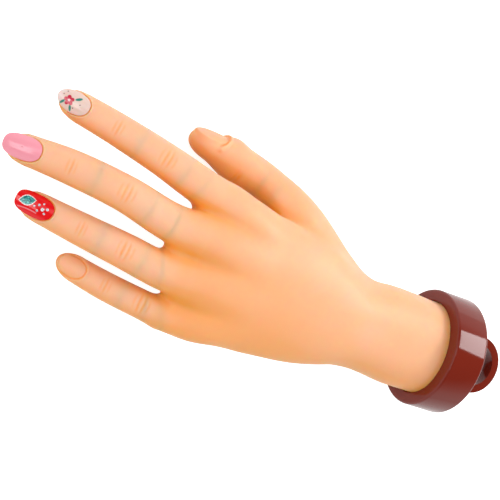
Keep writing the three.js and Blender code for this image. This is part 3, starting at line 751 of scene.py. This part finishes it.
def moulded_nail(name, along, side, back):
    """Rise of the skin over a nail that is moulded in it, and the cut of its groove."""
    nail = SIZES[name]["nail"]
    outside, share = nail_edge_distance(name, along, side)
    upper = smooth_steps(back / 2)
    inside = smooth_steps(0.5 - outside / 0.5) * upper
    rise = (nail_top(name, along, side) - back) * inside
    behind = 1 - smooth_steps((share - nail.get("groove", 0.72)) / 0.2)
    fold_height = nail.get("fold", MOULDED_FOLD[0])
    cut = ring(outside, *NAIL_GROOVE) - ring(outside, fold_height, *MOULDED_FOLD[1:])
    return rise, cut * upper * behind


def nail_bed(name, along, side, back):
    """How far the skin gives way under a press-on nail, and the fold round its cuticle."""
    outside, share = nail_edge_distance(name, along, side)
    under = nail_top(name, along, side) - NAIL_THICKNESS - NAIL_GAP
    inside = smooth_steps(0.5 - (outside - 0.25) / 0.4)
    sink = np.minimum(under - back, 0) * inside * (back > 0)
    behind = 1 - smooth_steps((share - 0.55) / 0.25)
    return sink, -ring(outside, *CUTICLE_FOLD) * behind * (back > 0)


def sculpt(obj):
    """Presses the creases and nails in, and returns how deep each corner was cut."""
    points, ways = to_hand(corners(obj)), corner_normals(obj)
    cut = np.zeros(len(points))
    for name, limb in LIMBS.items():
        some = np.flatnonzero(near(points, limb, 12))
        along, side, back, off = limb.closeness(points[some])
        mine = (off < 1.45) & (along > limb.marks[2])
        some, along, side, back = some[mine], along[mine], side[mine], back[mine]
        _, depth = limb.half_sizes(along)
        creases = crease_depths(limb, along, side, back, depth)
        form = nail_bed if name in PRESSED_NAILS else moulded_nail
        lift, groove = form(name, along, side, back)
        cut[some] += creases + groove
        points[some] += lift[:, None] * limb.sampled(limb.backs, along)
    lower = np.flatnonzero((ways[:, 2] < -0.2) & (points[:, 0] < 150))
    for line, depth in PALM_LINES:
        gap, share = line_distance(points[lower], line)
        fade = smooth_steps(share * 6) * smooth_steps((1 - share) * 4)
        cut[lower] += depth * bell(gap / 0.7) * fade * smooth_steps(-ways[lower, 2] * 2)
    points -= ways * cut[:, None]
    set_corners(obj, to_row(points))
    return cut


def refine_tips(obj):
    """Splits the faces round the nails once more."""
    points = to_hand(corners(obj))
    chosen = np.zeros(len(points), bool)
    for name, limb in LIMBS.items():
        some = np.flatnonzero(near(points, limb, 10))
        along, side, back, off = limb.closeness(points[some])
        start, _ = nail_span(name)
        chosen[some] |= (along > start - 3.5) & (off < 1.5) & (back > -1.5)
    edit(obj, chosen, (bpy.ops.mesh.subdivide, {"number_cuts": 1}))


def painted_shade_amount(points, ways):
    """How much shade is painted on each place: 0 on the open back, 1 deep in a fold or between two
    fingers.
    Shade is also painted on sides turned from the light, over the back and its hollows, and at the
    collar."""
    # Painted shade on sides turned away from light that falls from above and from the thumb side
    total = 0.42 * smooth_steps((0.88 - ways @ unit((-0.2, -0.45, 0.87))) / 1.1)
    x, y = points[:, 0], points[:, 1]
    # Painted shade on the back's outer, little-finger half, over the back behind the knuckles and in
    # the hollows between its bones
    outer = smooth_steps((x - 55) / 45) * smooth_steps((158 - x) / 20) * smooth_steps((y + 25) / 40)
    back = 0.11 * smooth_steps((165 - x) / 25)
    total += (0.09 * hollow_depth(points) + 0.2 * outer + back) * smooth_steps(ways[:, 2] * 1.5)
    # Painted shade where the surface is closed in: deep in folds and between fingers
    for reach, weight in ((1.2, 0.2), (2.8, 0.22), (5.5, 0.26)):
        gap = hand_distance(points + ways * reach)
        total += weight * np.clip(1 - gap / reach, 0, 1)
    # Painted shade on the wrist where it goes into the collar
    return total + 0.36 * smooth_steps((COLLAR_LENGTH + 3.6 - x) / 4)


# The skin's lengths: where each is cut, and the joint each is named for

def limb_cuts(name):
    """How far along a limb its skin parts, and how many degrees each parting slants."""
    marks = LIMBS[name].marks
    starts = (marks[2], *marks[2:])
    return [(start + place, tilt) for start, (place, tilt) in zip(starts, SIZES[name]["cuts"])]


def cut_plane(name, along, tilt):
    limb = LIMBS[name]
    at = limb.point(along)[0]
    way = limb.sampled(limb.tangents, np.array([along]))[0]
    side = limb.sampled(limb.sides, np.array([along]))[0]
    return at, unit(way + math.tan(math.radians(tilt)) * side)


def cut_skin(obj, name, along, tilt):
    """Parts the skin along a plane across one limb."""
    at, way = cut_plane(name, along, tilt)
    points = to_hand(corners(obj))
    chosen = np.zeros(len(points), bool)
    some = np.flatnonzero(near(points, LIMBS[name], 12))
    place, _, _, off = LIMBS[name].closeness(points[some])
    others = [limb.closeness(points[some])[3] for key, limb in LIMBS.items() if key != name]
    chosen[some] = (off < 1.6) & (off < np.min(others, axis=0)) & (np.abs(place - along) < 6)
    edit(obj, chosen,
         (bpy.ops.mesh.bisect, {
             "plane_co": tuple(to_row(at)), "plane_no": tuple(way), "use_fill": False}),
         (bpy.ops.mesh.edge_split, {"type": "EDGE"}))


def separate_loose(obj):
    edit(obj, True, (bpy.ops.mesh.separate, {"type": "LOOSE"}))
    return list(bpy.context.selected_objects)


def piece_place(piece):
    """Which limb a cut piece belongs to, and which of its lengths it is."""
    middle = to_hand(corners(piece)).mean(0)[None]
    name = min(LIMBS, key=lambda key: LIMBS[key].closeness(middle)[3][0])
    along = LIMBS[name].closeness(middle)[0][0]
    order = sum(along > place for place, _ in limb_cuts(name)) - 1
    return name, order


def dress_limb(piece, name, order):
    """Names a length of skin after the joint it lies over, and hides the part's own length of skin."""
    lengths = LENGTHS[name]
    piece.name = piece.data.name = f"{name}_skin_over_{JOINT_WORDS[name][order]}"
    cuts = limb_cuts(name)
    place, tilt = cuts[order]
    if order == 0:
        at, way = cut_plane(name, place, tilt)
        half_width = LIMBS[name].half_sizes(np.array([place]))[0][0]
    else:
        mark = LIMBS[name].marks[2 + order]
        at, way = cut_plane(name, mark, tilt)
    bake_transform(piece)
    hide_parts(f"{name}_skin_{lengths[order]}")


# Shader tools

def new_material(name, colour, roughness, **values):
    """A material with its Principled shader, constants set on the shader's own sockets."""
    material = bpy.data.materials.new(name)
    material.use_nodes = True
    shader = material.node_tree.nodes["Principled BSDF"]
    shader.inputs["Base Color"].default_value = (*colour, 1)
    shader.inputs["Roughness"].default_value = roughness
    for socket, value in values.items():
        shader.inputs[socket.replace("_", " ")].default_value = value
    return material, material.node_tree, shader


def node(tree, kind, inputs=(), **settings):
    made = tree.nodes.new(kind)
    for key, value in settings.items():
        setattr(made, key, value)
    for socket, value in dict(inputs).items():
        if isinstance(value, bpy.types.NodeSocket):
            tree.links.new(value, made.inputs[socket])
        else:
            made.inputs[socket].default_value = value
    return made


def noise(tree, place, scale, detail):
    return node(tree, "ShaderNodeTexNoise", {
        "Vector": place, "Scale": scale, "Detail": detail, "Roughness": 0.55}).outputs["Fac"]


def ranged(tree, value, low, high, to_low, to_high):
    return node(tree, "ShaderNodeMapRange", {
        "Value": value, "From Min": low, "From Max": high, "To Min": to_low, "To Max": to_high,
    }).outputs["Result"]


def blended(tree, share, a, b):
    """A colour between two, each given as numbers or as another node's output."""
    a, b = ((*colour, 1) if isinstance(colour, tuple) else colour for colour in (a, b))
    return node(tree, "ShaderNodeMix", {0: share, 6: a, 7: b}, data_type="RGBA").outputs[2]


def blend_value(tree, share, a, b):
    return node(tree, "ShaderNodeMix", {0: share, 2: a, 3: b}, data_type="FLOAT").outputs[0]


def masked(tree, name):
    return node(tree, "ShaderNodeAttribute", attribute_name=name).outputs["Fac"]


def object_place(tree):
    return node(tree, "ShaderNodeTexCoord").outputs["Object"]


def moulded_surface():
    """Shared group: the fine unevenness of a moulded surface, as a height and a mask of 0 to 1."""
    group = bpy.data.node_groups.new("moulded_surface", "ShaderNodeTree")
    for name, way in (("Fine Scale", "INPUT"), ("Broad Scale", "INPUT"),
                      ("Height", "OUTPUT"), ("Broad", "OUTPUT")):
        group.interface.new_socket(name, in_out=way, socket_type="NodeSocketFloat")
    inside = group.nodes.new("NodeGroupInput")
    outside = group.nodes.new("NodeGroupOutput")
    place = object_place(group)
    fine = noise(group, place, inside.outputs["Fine Scale"], 2.0)
    broad = noise(group, place, inside.outputs["Broad Scale"], 3.0)
    group.links.new(fine, outside.inputs["Height"])
    group.links.new(broad, outside.inputs["Broad"])
    return group


MOULDED = moulded_surface()


def add_surface(tree, shader, fine, broad, strength, distance, roughness):
    """Places the shared unevenness in a material and returns its broad mask."""
    surface = node(tree, "ShaderNodeGroup", {"Fine Scale": fine, "Broad Scale": broad},
                   node_tree=MOULDED)
    bump = node(tree, "ShaderNodeBump", {
        "Height": surface.outputs["Height"], "Strength": strength, "Distance": distance})
    tree.links.new(bump.outputs["Normal"], shader.inputs["Normal"])
    broad = surface.outputs["Broad"]
    tree.links.new(ranged(tree, broad, 0.3, 0.7, *roughness), shader.inputs["Roughness"])
    return broad


# The vinyl's own colour and the paler tone it wavers to at random, then the painted shade colours for
# shallow and deep shade
SKIN = (0.91, 0.525, 0.32)
SKIN_PALE = (0.91, 0.545, 0.36)
SKIN_PAINTED_SHADE = (0.94, 0.425, 0.168)
SKIN_PAINTED_DEEP_SHADE = (0.98, 0.39, 0.07)


def skin_material():
    """Soft peach vinyl with painted shade: orange where the fold attribute paints shade, pale where it
    stands free.
    """
    material, tree, shader = new_material(
        "skin_vinyl", SKIN, 0.42, Subsurface_Weight=1.0, Subsurface_Scale=0.0045,
        Subsurface_Radius=(1.0, 0.35, 0.15), Specular_IOR_Level=0.42)
    broad = add_surface(tree, shader, 1500.0, 45.0, 0.12, 0.0001, (0.4, 0.5))
    # Painted shade: the fold attribute blends the colour towards the painted shade colours
    fold = masked(tree, "fold")
    light = blended(tree, ranged(tree, broad, 0.35, 0.65, 0, 1), SKIN, SKIN_PALE)
    middle = blended(tree, ranged(tree, fold, 0.0, 0.42, 0, 1), light, SKIN_PAINTED_SHADE)
    deep = blended(tree, ranged(tree, fold, 0.35, 0.85, 0, 1), middle, SKIN_PAINTED_DEEP_SHADE)
    tree.links.new(deep, shader.inputs["Base Color"])
    return material


def plain_plastic(name, colour, roughness, surface, shades, **values):
    """Plastic that is finely uneven and wavers a little between two shades."""
    material, tree, shader = new_material(name, colour, roughness, **values)
    broad = add_surface(tree, shader, *surface)
    tree.links.new(blended(tree, broad, *shades), shader.inputs["Base Color"])
    return material


def steel_material(name, colour, roughness):
    """Drawn or plated steel, with fine streaks."""
    material, tree, shader = new_material(name, colour, roughness, Metallic=1.0)
    stretched = node(tree, "ShaderNodeMapping", {
        "Vector": object_place(tree), "Scale": (60, 1500, 1500)}).outputs["Vector"]
    streaks = noise(tree, stretched, 1.0, 3.0)
    tree.links.new(ranged(tree, streaks, 0.3, 0.7, roughness * 0.7, roughness * 1.4),
                   shader.inputs["Roughness"])
    darker = tuple(part * 0.75 for part in colour)
    tree.links.new(blended(tree, streaks, darker, colour), shader.inputs["Base Color"])
    return material


# The skin

def skin_pieces():
    skin = whole_skin()
    refine_tips(skin)
    press(skin, 2)
    cut = sculpt(skin)
    points, ways = to_hand(corners(skin)), corner_normals(skin)
    # Painted shade: the fold attribute holds how much orange shade is painted, from sheltered places
    # and from the creases and nail grooves cut in
    set_attribute(skin, "fold", np.clip(painted_shade_amount(points, ways) + np.clip(cut, 0, 1) * 0.9, 0, 1))
    set_attribute(skin, "skin_normal", ways, "FLOAT_VECTOR")
    for name in LIMBS:
        for along, tilt in limb_cuts(name):
            cut_skin(skin, name, along, tilt)
    pieces = separate_loose(skin)
    material = skin_material()
    palm = max(pieces, key=lambda piece: len(piece.data.vertices))
    for piece in pieces:
        piece.data.polygons.foreach_set("use_smooth", [True] * len(piece.data.polygons))
        normals = read_triples(piece.data.attributes["skin_normal"].data, "vector")
        piece.data.normals_split_custom_set_from_vertices(normals)
        piece.data.attributes.remove(piece.data.attributes["skin_normal"])
        set_material(piece, material)
        if piece is palm:
            piece.name = piece.data.name = "palm_and_wrist_skin"
            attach(piece, "palm")
            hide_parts("palm_skin")
        else:
            dress_limb(piece, *piece_place(piece))


skin_pieces()


# Nails

def to_disc(square):
    """Square grid places to a round disc of radius 1."""
    u, v = square.T
    return np.stack([u * np.sqrt(1 - v * v / 2), v * np.sqrt(1 - u * u / 2)], axis=1)


def on_nail(name, along, side):
    """Places on the nail's top, in metres."""
    return to_row(LIMBS[name].point(along, side, nail_top(name, along, side)))


def nail_grid(name):
    """A flat grid, shaped to the nail's outline and laid on its curved top."""
    nail = SIZES[name]["nail"]
    plate = add_form(bpy.ops.mesh.primitive_grid_add, (0, 0, 0), size=2,
                     x_subdivisions=96, y_subdivisions=72)
    plate.name = plate.data.name = f"{name}_nail"
    disc = to_disc(np.clip(corners(plate)[:, :2], -1, 1))
    radius = np.hypot(*disc.T)
    way = disc / np.maximum(radius, 1e-9)[:, None]
    power = np.where(way[:, 0] < 0, *nail["squareness"])
    edge = (np.abs(way[:, 0]) ** power + np.abs(way[:, 1]) ** power) ** (-1 / power)
    share = (disc[:, 0] * edge + 1) / 2
    start, end = nail_span(name)
    along = start + (end - start) * share
    side = disc[:, 1] * edge * nail_half_width(name, share) + nail.get("aside", 0)
    set_corners(plate, on_nail(name, along, side))
    return plate, (share - 0.5) * nail["length"], disc[:, 1] * edge * nail["width"] / 2


def press_on_nail(name, material, motif=None):
    """A nail whose thickness goes down from its top, with a rounded rim."""
    plate, along, side = nail_grid(name)
    for mask, values in (motif(along, side) if motif else {}).items():
        set_attribute(plate, mask, values)
    if corner_normals(plate).mean(0)[2] < 0:
        edit(plate, True, (bpy.ops.mesh.flip_normals, {}))
    apply_modifier(plate, "SOLIDIFY", thickness=NAIL_THICKNESS * MM, offset=-1.0,
                   use_even_offset=False)
    round_edges(plate, NAIL_RIM, 3, 50)
    plate.data.polygons.foreach_set("use_smooth", [True] * len(plate.data.polygons))
    set_material(plate, material)
    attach(plate, f"{name}_tip")
    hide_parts(f"{name}_press_on_nail")


# Unevenness of the nails' varnish
VARNISH = (300.0, 90.0, 0.02, 0.0001, (0.07, 0.11))


def painted_nail(name, colour, layers, **values):
    """Varnish in one colour, with each further colour laid over it where its mask says."""
    material, tree, shader = new_material(name, colour, 0.08, **values)
    add_surface(tree, shader, *VARNISH)
    for mask, paint in layers:
        paint = paint(tree) if callable(paint) else paint
        colour = blended(tree, masked(tree, mask), colour, paint)
    tree.links.new(colour, shader.inputs["Base Color"])
    return material


def teal_glitter(tree):
    """Grains of two teals."""
    cells = node(tree, "ShaderNodeTexVoronoi", {
        "Vector": object_place(tree), "Scale": 3200.0}).outputs["Color"]
    return blended(tree, ranged(tree, cells, 0.35, 0.75, 0, 1), (0.0, 0.12, 0.13), (0.1, 0.62, 0.55))


def edge_mask(value, softness=0.12):
    """1 where the value is below zero, with a soft edge."""
    return smooth_steps(0.5 - value / softness)


def blossom(along, side):
    """Masks of a small five-petalled blossom with leaves and dots, and of the free edge."""
    x, y = along - 1.9, side - 0.5
    radius, turn = np.hypot(x, y), np.arctan2(y, x)
    petal = edge_mask(radius - (1.45 + 0.75 * np.abs(np.cos(2.5 * turn))))
    heart = edge_mask(radius - (0.5 + 0.16 * np.cos(5 * turn)))
    leaves, dots = np.zeros(len(along)), np.zeros(len(along))
    for place, angle, length, width in (
            ((-1.5, -1.6), 215, 1.5, 0.55), ((4.0, 2.2), 60, 1.3, 0.5), ((0.1, 3.1), 120, 1.2, 0.5)):
        u, v = turned(along - place[0], side - place[1], angle)
        leaves = np.maximum(leaves, edge_mask(np.hypot(u / length, v / width) - 1, 0.2))
    for place in ((4.9, -0.9), (3.9, -2.6), (-0.9, 2.6), (-2.9, 0.2)):
        dots = np.maximum(dots, edge_mask(np.hypot(along - place[0], side - place[1]) - 0.24))
    tip = smooth_steps((along / SIZES["index"]["nail"]["length"] - 0.28) / 0.14)
    return {"petal": petal, "heart": heart, "leaf": leaves, "dot": dots, "tip": tip}


def glitter_leaf(along, side):
    """Masks of a leaf with a scalloped edge, and of a painted highlight: a thin pale line beside it."""
    x, y = turned(along - 3.4, side + 0.5, 24)
    bulge = np.clip(1 - (x / 3.4) ** 2, 0, 1) * 2.0
    off = np.abs(y) - bulge
    scallop = 0.34 + 0.12 * np.cos(x * 6.5)
    leaf = edge_mask(off + 0.05) * (np.abs(x) < 3.4)
    edging = edge_mask(np.abs(off) - scallop / 2) * (np.abs(x) < 3.6)
    # Painted highlight: a thin pale line along the nail's side, where its varnish would catch the light
    streak = edge_mask(np.abs(side - 2.6 - 0.02 * along**2) - 0.22) * (along > -2) * (along < 6)
    return {"leaf": leaf, "edging": edging, "streak": streak * 0.8}


# Stones on the ring finger's nail: share of its length, place across and size
NAIL_STONES = [
    (0.17, -0.12, 0.62), (0.2, 0.3, 0.5), (0.28, 0.05, 0.75), (0.3, -0.42, 0.45),
    (0.39, 0.32, 0.5), (0.4, -0.18, 0.55), (0.5, 0.08, 0.42),
]


def stone_material():
    material, tree, shader = new_material(
        "nail_red_stones", (0.9, 0.88, 0.9), 0.1, Coat_Weight=1.0, Coat_Roughness=0.02)
    # Painted reflections: small patches of dark grey and of white stand in for what the stone's facets
    # reflect
    facets = node(tree, "ShaderNodeTexVoronoi", {
        "Vector": object_place(tree), "Scale": 2600.0}).outputs["Color"]
    share = ranged(tree, facets, 0.3, 0.8, 0, 1)
    tree.links.new(blended(tree, share, (0.45, 0.42, 0.5), (0.95, 0.94, 0.96)),
                   shader.inputs["Base Color"])
    tree.links.new(ranged(tree, facets, 0.3, 0.8, 0.05, 0.25), shader.inputs["Roughness"])
    return material


def unit_stone():
    """A cut stone of 1 mm radius, with eight facets round a flat top."""
    stone = add_form(bpy.ops.mesh.primitive_cylinder_add, (0, 0, 0),
                     vertices=8, radius=MM, depth=0.5 * MM)
    edit(stone, corners(stone)[:, 2] > 0,
         (bpy.ops.mesh.extrude_region_move, {
             "TRANSFORM_OT_translate": {"value": (0, 0, 0.35 * MM)}}),
         (bpy.ops.transform.resize, {"value": (0.55, 0.55, 0.55)}))
    return stone


def nail_stones():
    """Small cut stones, each a faceted dome, set on the ring finger's nail."""
    start, end = nail_span("ring")
    first = unit_stone()
    stones = [first] + [copy_piece(first, "stone") for _ in NAIL_STONES[1:]]
    for stone, (share, across, size) in zip(stones, NAIL_STONES):
        along = start + (end - start) * share
        side = across * nail_half_width("ring", share)
        at, ahead, aside = (
            Vector(on_nail("ring", along + a, side + b)[0]) for a, b in ((0, 0), (0.5, 0), (0, 0.5)))
        up = (ahead - at).cross(aside - at).normalized()
        stone.location = at + up * size * 0.2 * MM
        stone.rotation_euler = up.to_track_quat("Z", "Y").to_euler()
        stone.scale = (size, size, size)
    piece = join_pieces(stones, "ring_nail_stones")
    set_material(piece, stone_material())
    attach(piece, "ring_tip")


pale_nail = painted_nail("nail_pale_pink", (0.82, 0.6, 0.53), (
    ("tip", (0.84, 0.7, 0.66)), ("leaf", (0.05, 0.25, 0.2)), ("petal", (0.6, 0.02, 0.06)),
    ("heart", (0.93, 0.62, 0.66)), ("dot", (0.12, 0.03, 0.05)),
), Subsurface_Weight=0.3, Subsurface_Scale=0.001)
pink_nail = plain_plastic("nail_pink", (0.93, 0.33, 0.42), 0.08, VARNISH,
                          ((0.92, 0.31, 0.385), (0.94, 0.36, 0.435)))
# The pale line over the red varnish is a painted highlight
red_nail = painted_nail("nail_red", (0.8, 0.006, 0.01), (
    ("streak", (0.9, 0.3, 0.33)), ("leaf", teal_glitter), ("edging", (0.9, 0.88, 0.86))))
press_on_nail("index", pale_nail, blossom)
press_on_nail("middle", pink_nail)
press_on_nail("ring", red_nail, glitter_leaf)
nail_stones()


# Collar, eye and screws

BASE = (0.2, 0.02, 0.009)
BASE_DARK = (0.165, 0.015, 0.007)

# Sizes of the collar, the screws in its back and the eye, in millimetres
COLLAR_WALL = 4.6
EDGE_ROUND = 1.3
MOUTH_ROUND = 0.5
WRIST_GAP = 0.3
SCREW = {"radius": 1.5, "head": 2.8, "depth": 2.0, "length": 9.5, "rise": 10.3,
         "edge": 0.5, "clear": 0.3, "slot": (1.2, 3.2, 0.6)}
EYE = {"outer": 13.0, "bore": 9.5, "height": 11.0, "setback": 10.6, "foot": (4.2, 27.0),
       "clear": 0.3, "bevel": 0.9}


def round_bar(height, start, end, radius, sides, name="bar"):
    """A round bar along X at a height, between two places in hand millimetres."""
    start, end = (Vector(to_row((x, 0, height))) for x in (start, end))
    made = add_form(bpy.ops.mesh.primitive_cylinder_add, (start + end) / 2, (0, math.pi / 2, 0),
                    vertices=sides, radius=radius * MM, depth=(end - start).length)
    made.name = made.data.name = name
    return made


def collar_piece():
    """A turned cup: rounded rims, an oval recess for the wrist and two screw seats behind."""
    middle = COLLAR_RADIUS
    collar = round_bar(middle, 0, COLLAR_LENGTH, COLLAR_RADIUS, 128, "wrist_collar")
    points = to_hand(corners(collar))
    recess = (WRIST_WIDTH / 2 + WRIST_GAP, WRIST_DEPTH / 2 + WRIST_GAP)
    edit(collar, points[:, 0] > COLLAR_LENGTH / 2,
         (bpy.ops.mesh.inset, {"thickness": (COLLAR_RADIUS - recess[0]) * MM, "depth": 0}),
         (bpy.ops.transform.resize, {
             "value": (1, 1, recess[1] / recess[0]),
             "center_override": tuple(to_row((COLLAR_LENGTH, 0, middle)))}),
         (bpy.ops.mesh.extrude_region_move, {
             "TRANSFORM_OT_translate": {"value": (-(COLLAR_LENGTH - COLLAR_WALL) * MM, 0, 0)}}))
    for face in (0, COLLAR_LENGTH):
        points = to_hand(corners(collar))
        across = np.hypot(points[:, 1], points[:, 2] - middle)
        rim = (across > COLLAR_RADIUS - 0.1) & (np.abs(points[:, 0] - face) < 0.1)
        edit(collar, rim, (bpy.ops.mesh.bevel, {
            "offset": EDGE_ROUND * MM, "segments": 6, "affect": "EDGES"}))
    points = to_hand(corners(collar))
    across = np.hypot(points[:, 1] / recess[0], (points[:, 2] - middle) / recess[1])
    mouth = (across < 1.02) & (points[:, 0] > COLLAR_LENGTH - 0.05)
    edit(collar, mouth, (bpy.ops.mesh.bevel, {
        "offset": MOUTH_ROUND * MM, "segments": 3, "affect": "EDGES"}))
    for side in (-1, 1):
        height = middle + side * SCREW["rise"]
        combine(collar, round_bar(height, -1, SCREW["depth"] + SCREW["clear"],
                                  SCREW["head"] + SCREW["clear"], 32))
    return collar


def eye_piece():
    """A thick ring round the post's bore, on a flat foot against the collar's back."""
    middle = COLLAR_RADIUS
    centre = to_row((-EYE["setback"], 0, middle))
    ring = add_form(bpy.ops.mesh.primitive_cylinder_add, centre,
                    vertices=96, radius=EYE["outer"] * MM, depth=EYE["height"] * MM)
    ring.name = ring.data.name = "post_ring"
    length, width = EYE["foot"]
    foot_middle = to_row((-length / 2 - EYE["clear"], 0, middle))
    foot = add_form(bpy.ops.mesh.primitive_cube_add, foot_middle,
                    scale=(length, width, EYE["height"]), size=MM)
    combine(ring, foot, "UNION")
    bore = add_form(bpy.ops.mesh.primitive_cylinder_add, centre,
                    vertices=96, radius=EYE["bore"] * MM, depth=EYE["height"] * 2 * MM)
    combine(ring, bore)
    block = 40  # large enough to clear all that reaches into the collar
    combine(ring, add_form(bpy.ops.mesh.primitive_cube_add,
                           to_row((block / 2 - EYE["clear"], 0, middle)), size=block * MM))
    round_edges(ring, EYE["bevel"], 4, 60)
    return ring


def screw_pieces():
    """Two pan-headed screws with cross recesses, seated in the collar's back."""
    height, start = COLLAR_RADIUS - SCREW["rise"], SCREW["clear"]
    lower = round_bar(height, start, start + SCREW["depth"], SCREW["head"], 40, "collar_screw_lower")
    round_edges(lower, SCREW["edge"], 3, 60)
    shank_end = start + SCREW["depth"] + SCREW["length"]
    shank_start = start + SCREW["depth"] / 2
    combine(lower, round_bar(height, shank_start, shank_end, SCREW["radius"], 24), "UNION")
    deep, long, wide = SCREW["slot"]
    for degrees in (45, 135):
        combine(lower, add_form(
            bpy.ops.mesh.primitive_cube_add, to_row((start + deep / 4, 0, height)),
            (math.radians(degrees), 0, 0), (deep * 1.5, long, wide), size=MM))
    upper = copy_piece(lower, "collar_screw_upper")
    upper.location.z = 2 * SCREW["rise"] * MM
    bpy.ops.object.transform_apply(location=True, rotation=True, scale=True)
    return lower, upper


def base_pieces():
    plastic = plain_plastic("base_plastic", BASE, 0.1, (400.0, 25.0, 0.03, 0.0001, (0.07, 0.12)),
                            (BASE_DARK, BASE), Specular_IOR_Level=0.36)
    steel = steel_material("screw_steel", (0.52, 0.53, 0.55), 0.28)
    hard = [(collar_piece(), "base_collar", "base_plastic", plastic),
            (eye_piece(), "post_eye", "base_plastic", plastic)]
    for piece, word in zip(screw_pieces(), ("lower", "upper")):
        hard.append((piece, f"plug_screw_{word}", "screw_steel", steel))
    for piece, replaced, slot, material in hard:
        set_material(piece, material)
        activate(piece)
        bpy.ops.object.shade_smooth_by_angle(angle=math.radians(32))
        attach(piece, "palm")
        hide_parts(replaced)
    wire = steel_material("armature_wire", (0.6, 0.61, 0.63), 0.3)
    core = plain_plastic("inner_plastic", (0.69, 0.65, 0.56), 0.55,
                         (900.0, 40.0, 0.2, 0.0002, (0.48, 0.66)),
                         ((0.62, 0.58, 0.49), (0.72, 0.68, 0.59)))
    inner = (("_wire", wire), ("eye_screw", steel), ("armature_core", core), ("wrist_plug", core))
    for name in frame["nodes"]:
        for word, material in inner:
            if word in name:
                bpy.data.objects[name].data.materials[0] = material


base_pieces()


# Stage

def set_up(name, data, place, right, up, back):
    """Puts a camera or lamp in the scene, looking away from its back direction."""
    obj = bpy.data.objects.new(name, data)
    bpy.context.scene.collection.objects.link(obj)
    obj.matrix_world = Matrix.Translation(place) @ Matrix((right, up, back)).transposed().to_4x4()
    return obj


def camera():
    """Looks down on the back of the hand, turned as in the photograph."""
    data = bpy.data.cameras.new("camera")
    data.lens, data.sensor_width, data.clip_end = 142.56, 36, 10
    right = Vector((-0.8188, -0.3256, 0.4728)).normalized()
    back = Vector((0.5, 0.0, 0.8660)).normalized()
    place = (0.42685, -0.00124, 0.74333)
    bpy.context.scene.camera = set_up("camera", data, place, right, back.cross(right), back)


def area_light(name, place, aim, size, power, long_way):
    """A soft box that faces its aim, with its longer side along the given way."""
    data = bpy.data.lights.new(name, "AREA")
    data.shape, data.size, data.size_y = "RECTANGLE", size[0], size[1]
    data.energy = power
    behind = (Vector(place) - Vector(aim)).normalized()
    across = behind.cross(Vector(long_way)).normalized()
    set_up(name, data, place, across.cross(behind), across, behind)


# Light from all round, and how bright reflections see the ceiling
AMBIENT, CEILING = 0.73, 0.06


def world():
    """White to the camera. Reflections see a white horizon under a dim studio ceiling."""
    scene_world = bpy.data.worlds.new("studio")
    bpy.context.scene.world = scene_world
    scene_world.use_nodes = True
    tree = scene_world.node_tree
    path = node(tree, "ShaderNodeLightPath").outputs
    way = node(tree, "ShaderNodeTexCoord").outputs["Generated"]
    height = node(tree, "ShaderNodeSeparateXYZ", {"Vector": way}).outputs["Z"]
    mirrored = ranged(tree, height, 0.25, 0.65, 1.0, CEILING)
    strength = blend_value(tree, path["Is Glossy Ray"], AMBIENT, mirrored)
    seen = node(tree, "ShaderNodeMath", {0: path["Is Camera Ray"], 1: path["Is Transmission Ray"]},
                operation="MAXIMUM").outputs[0]
    strength = blend_value(tree, seen, strength, 1.0)
    tree.links.new(strength, tree.nodes["Background"].inputs["Strength"])
    tree.nodes["Background"].inputs["Color"].default_value = (1, 1, 1, 1)


# How much the floor's white is lifted for the camera and in reflections
FLOOR_LIFT, MIRROR_LIFT = 0.8, 0.2


def floor():
    """White paper: it keeps a faint shadow, and the camera sees its white lifted a little."""
    bpy.ops.object.select_all(action="DESELECT")
    bpy.ops.mesh.primitive_plane_add(size=4, location=(0, 0, -0.0002))
    ground = bpy.context.object
    ground.name = "floor"
    material, tree, shader = new_material("floor_paper", (0.8, 0.8, 0.8), 0.9)
    path = node(tree, "ShaderNodeLightPath").outputs
    lift = blend_value(tree, path["Is Glossy Ray"], 0.0, MIRROR_LIFT)
    lift = blend_value(tree, path["Is Camera Ray"], lift, FLOOR_LIFT)
    tree.links.new(lift, shader.inputs["Emission Strength"])
    shader.inputs["Emission Color"].default_value = (1, 1, 1, 1)
    ground.data.materials.append(material)
    ground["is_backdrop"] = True


camera()
area_light("key", (-0.575, -0.375, 0.54), (-0.06, 0, 0.02), (0.42, 0.26), 3.4, (0, -0.788, -0.616))
area_light("fill", (0.35, -0.3, 0.98), (0.02, 0, 0.02), (0.62, 0.5), 1.0, (1, 0, 0))
area_light("front", (0.8, 0.1, 0.97), (0.06, 0, 0.02), (0.8, 0.3), 2.7, (0, 1, 0))
world()
floor()
bpy.context.scene.view_settings.view_transform = "Standard"

{"cad": cad_bounds, "visual": plain_bounds()}
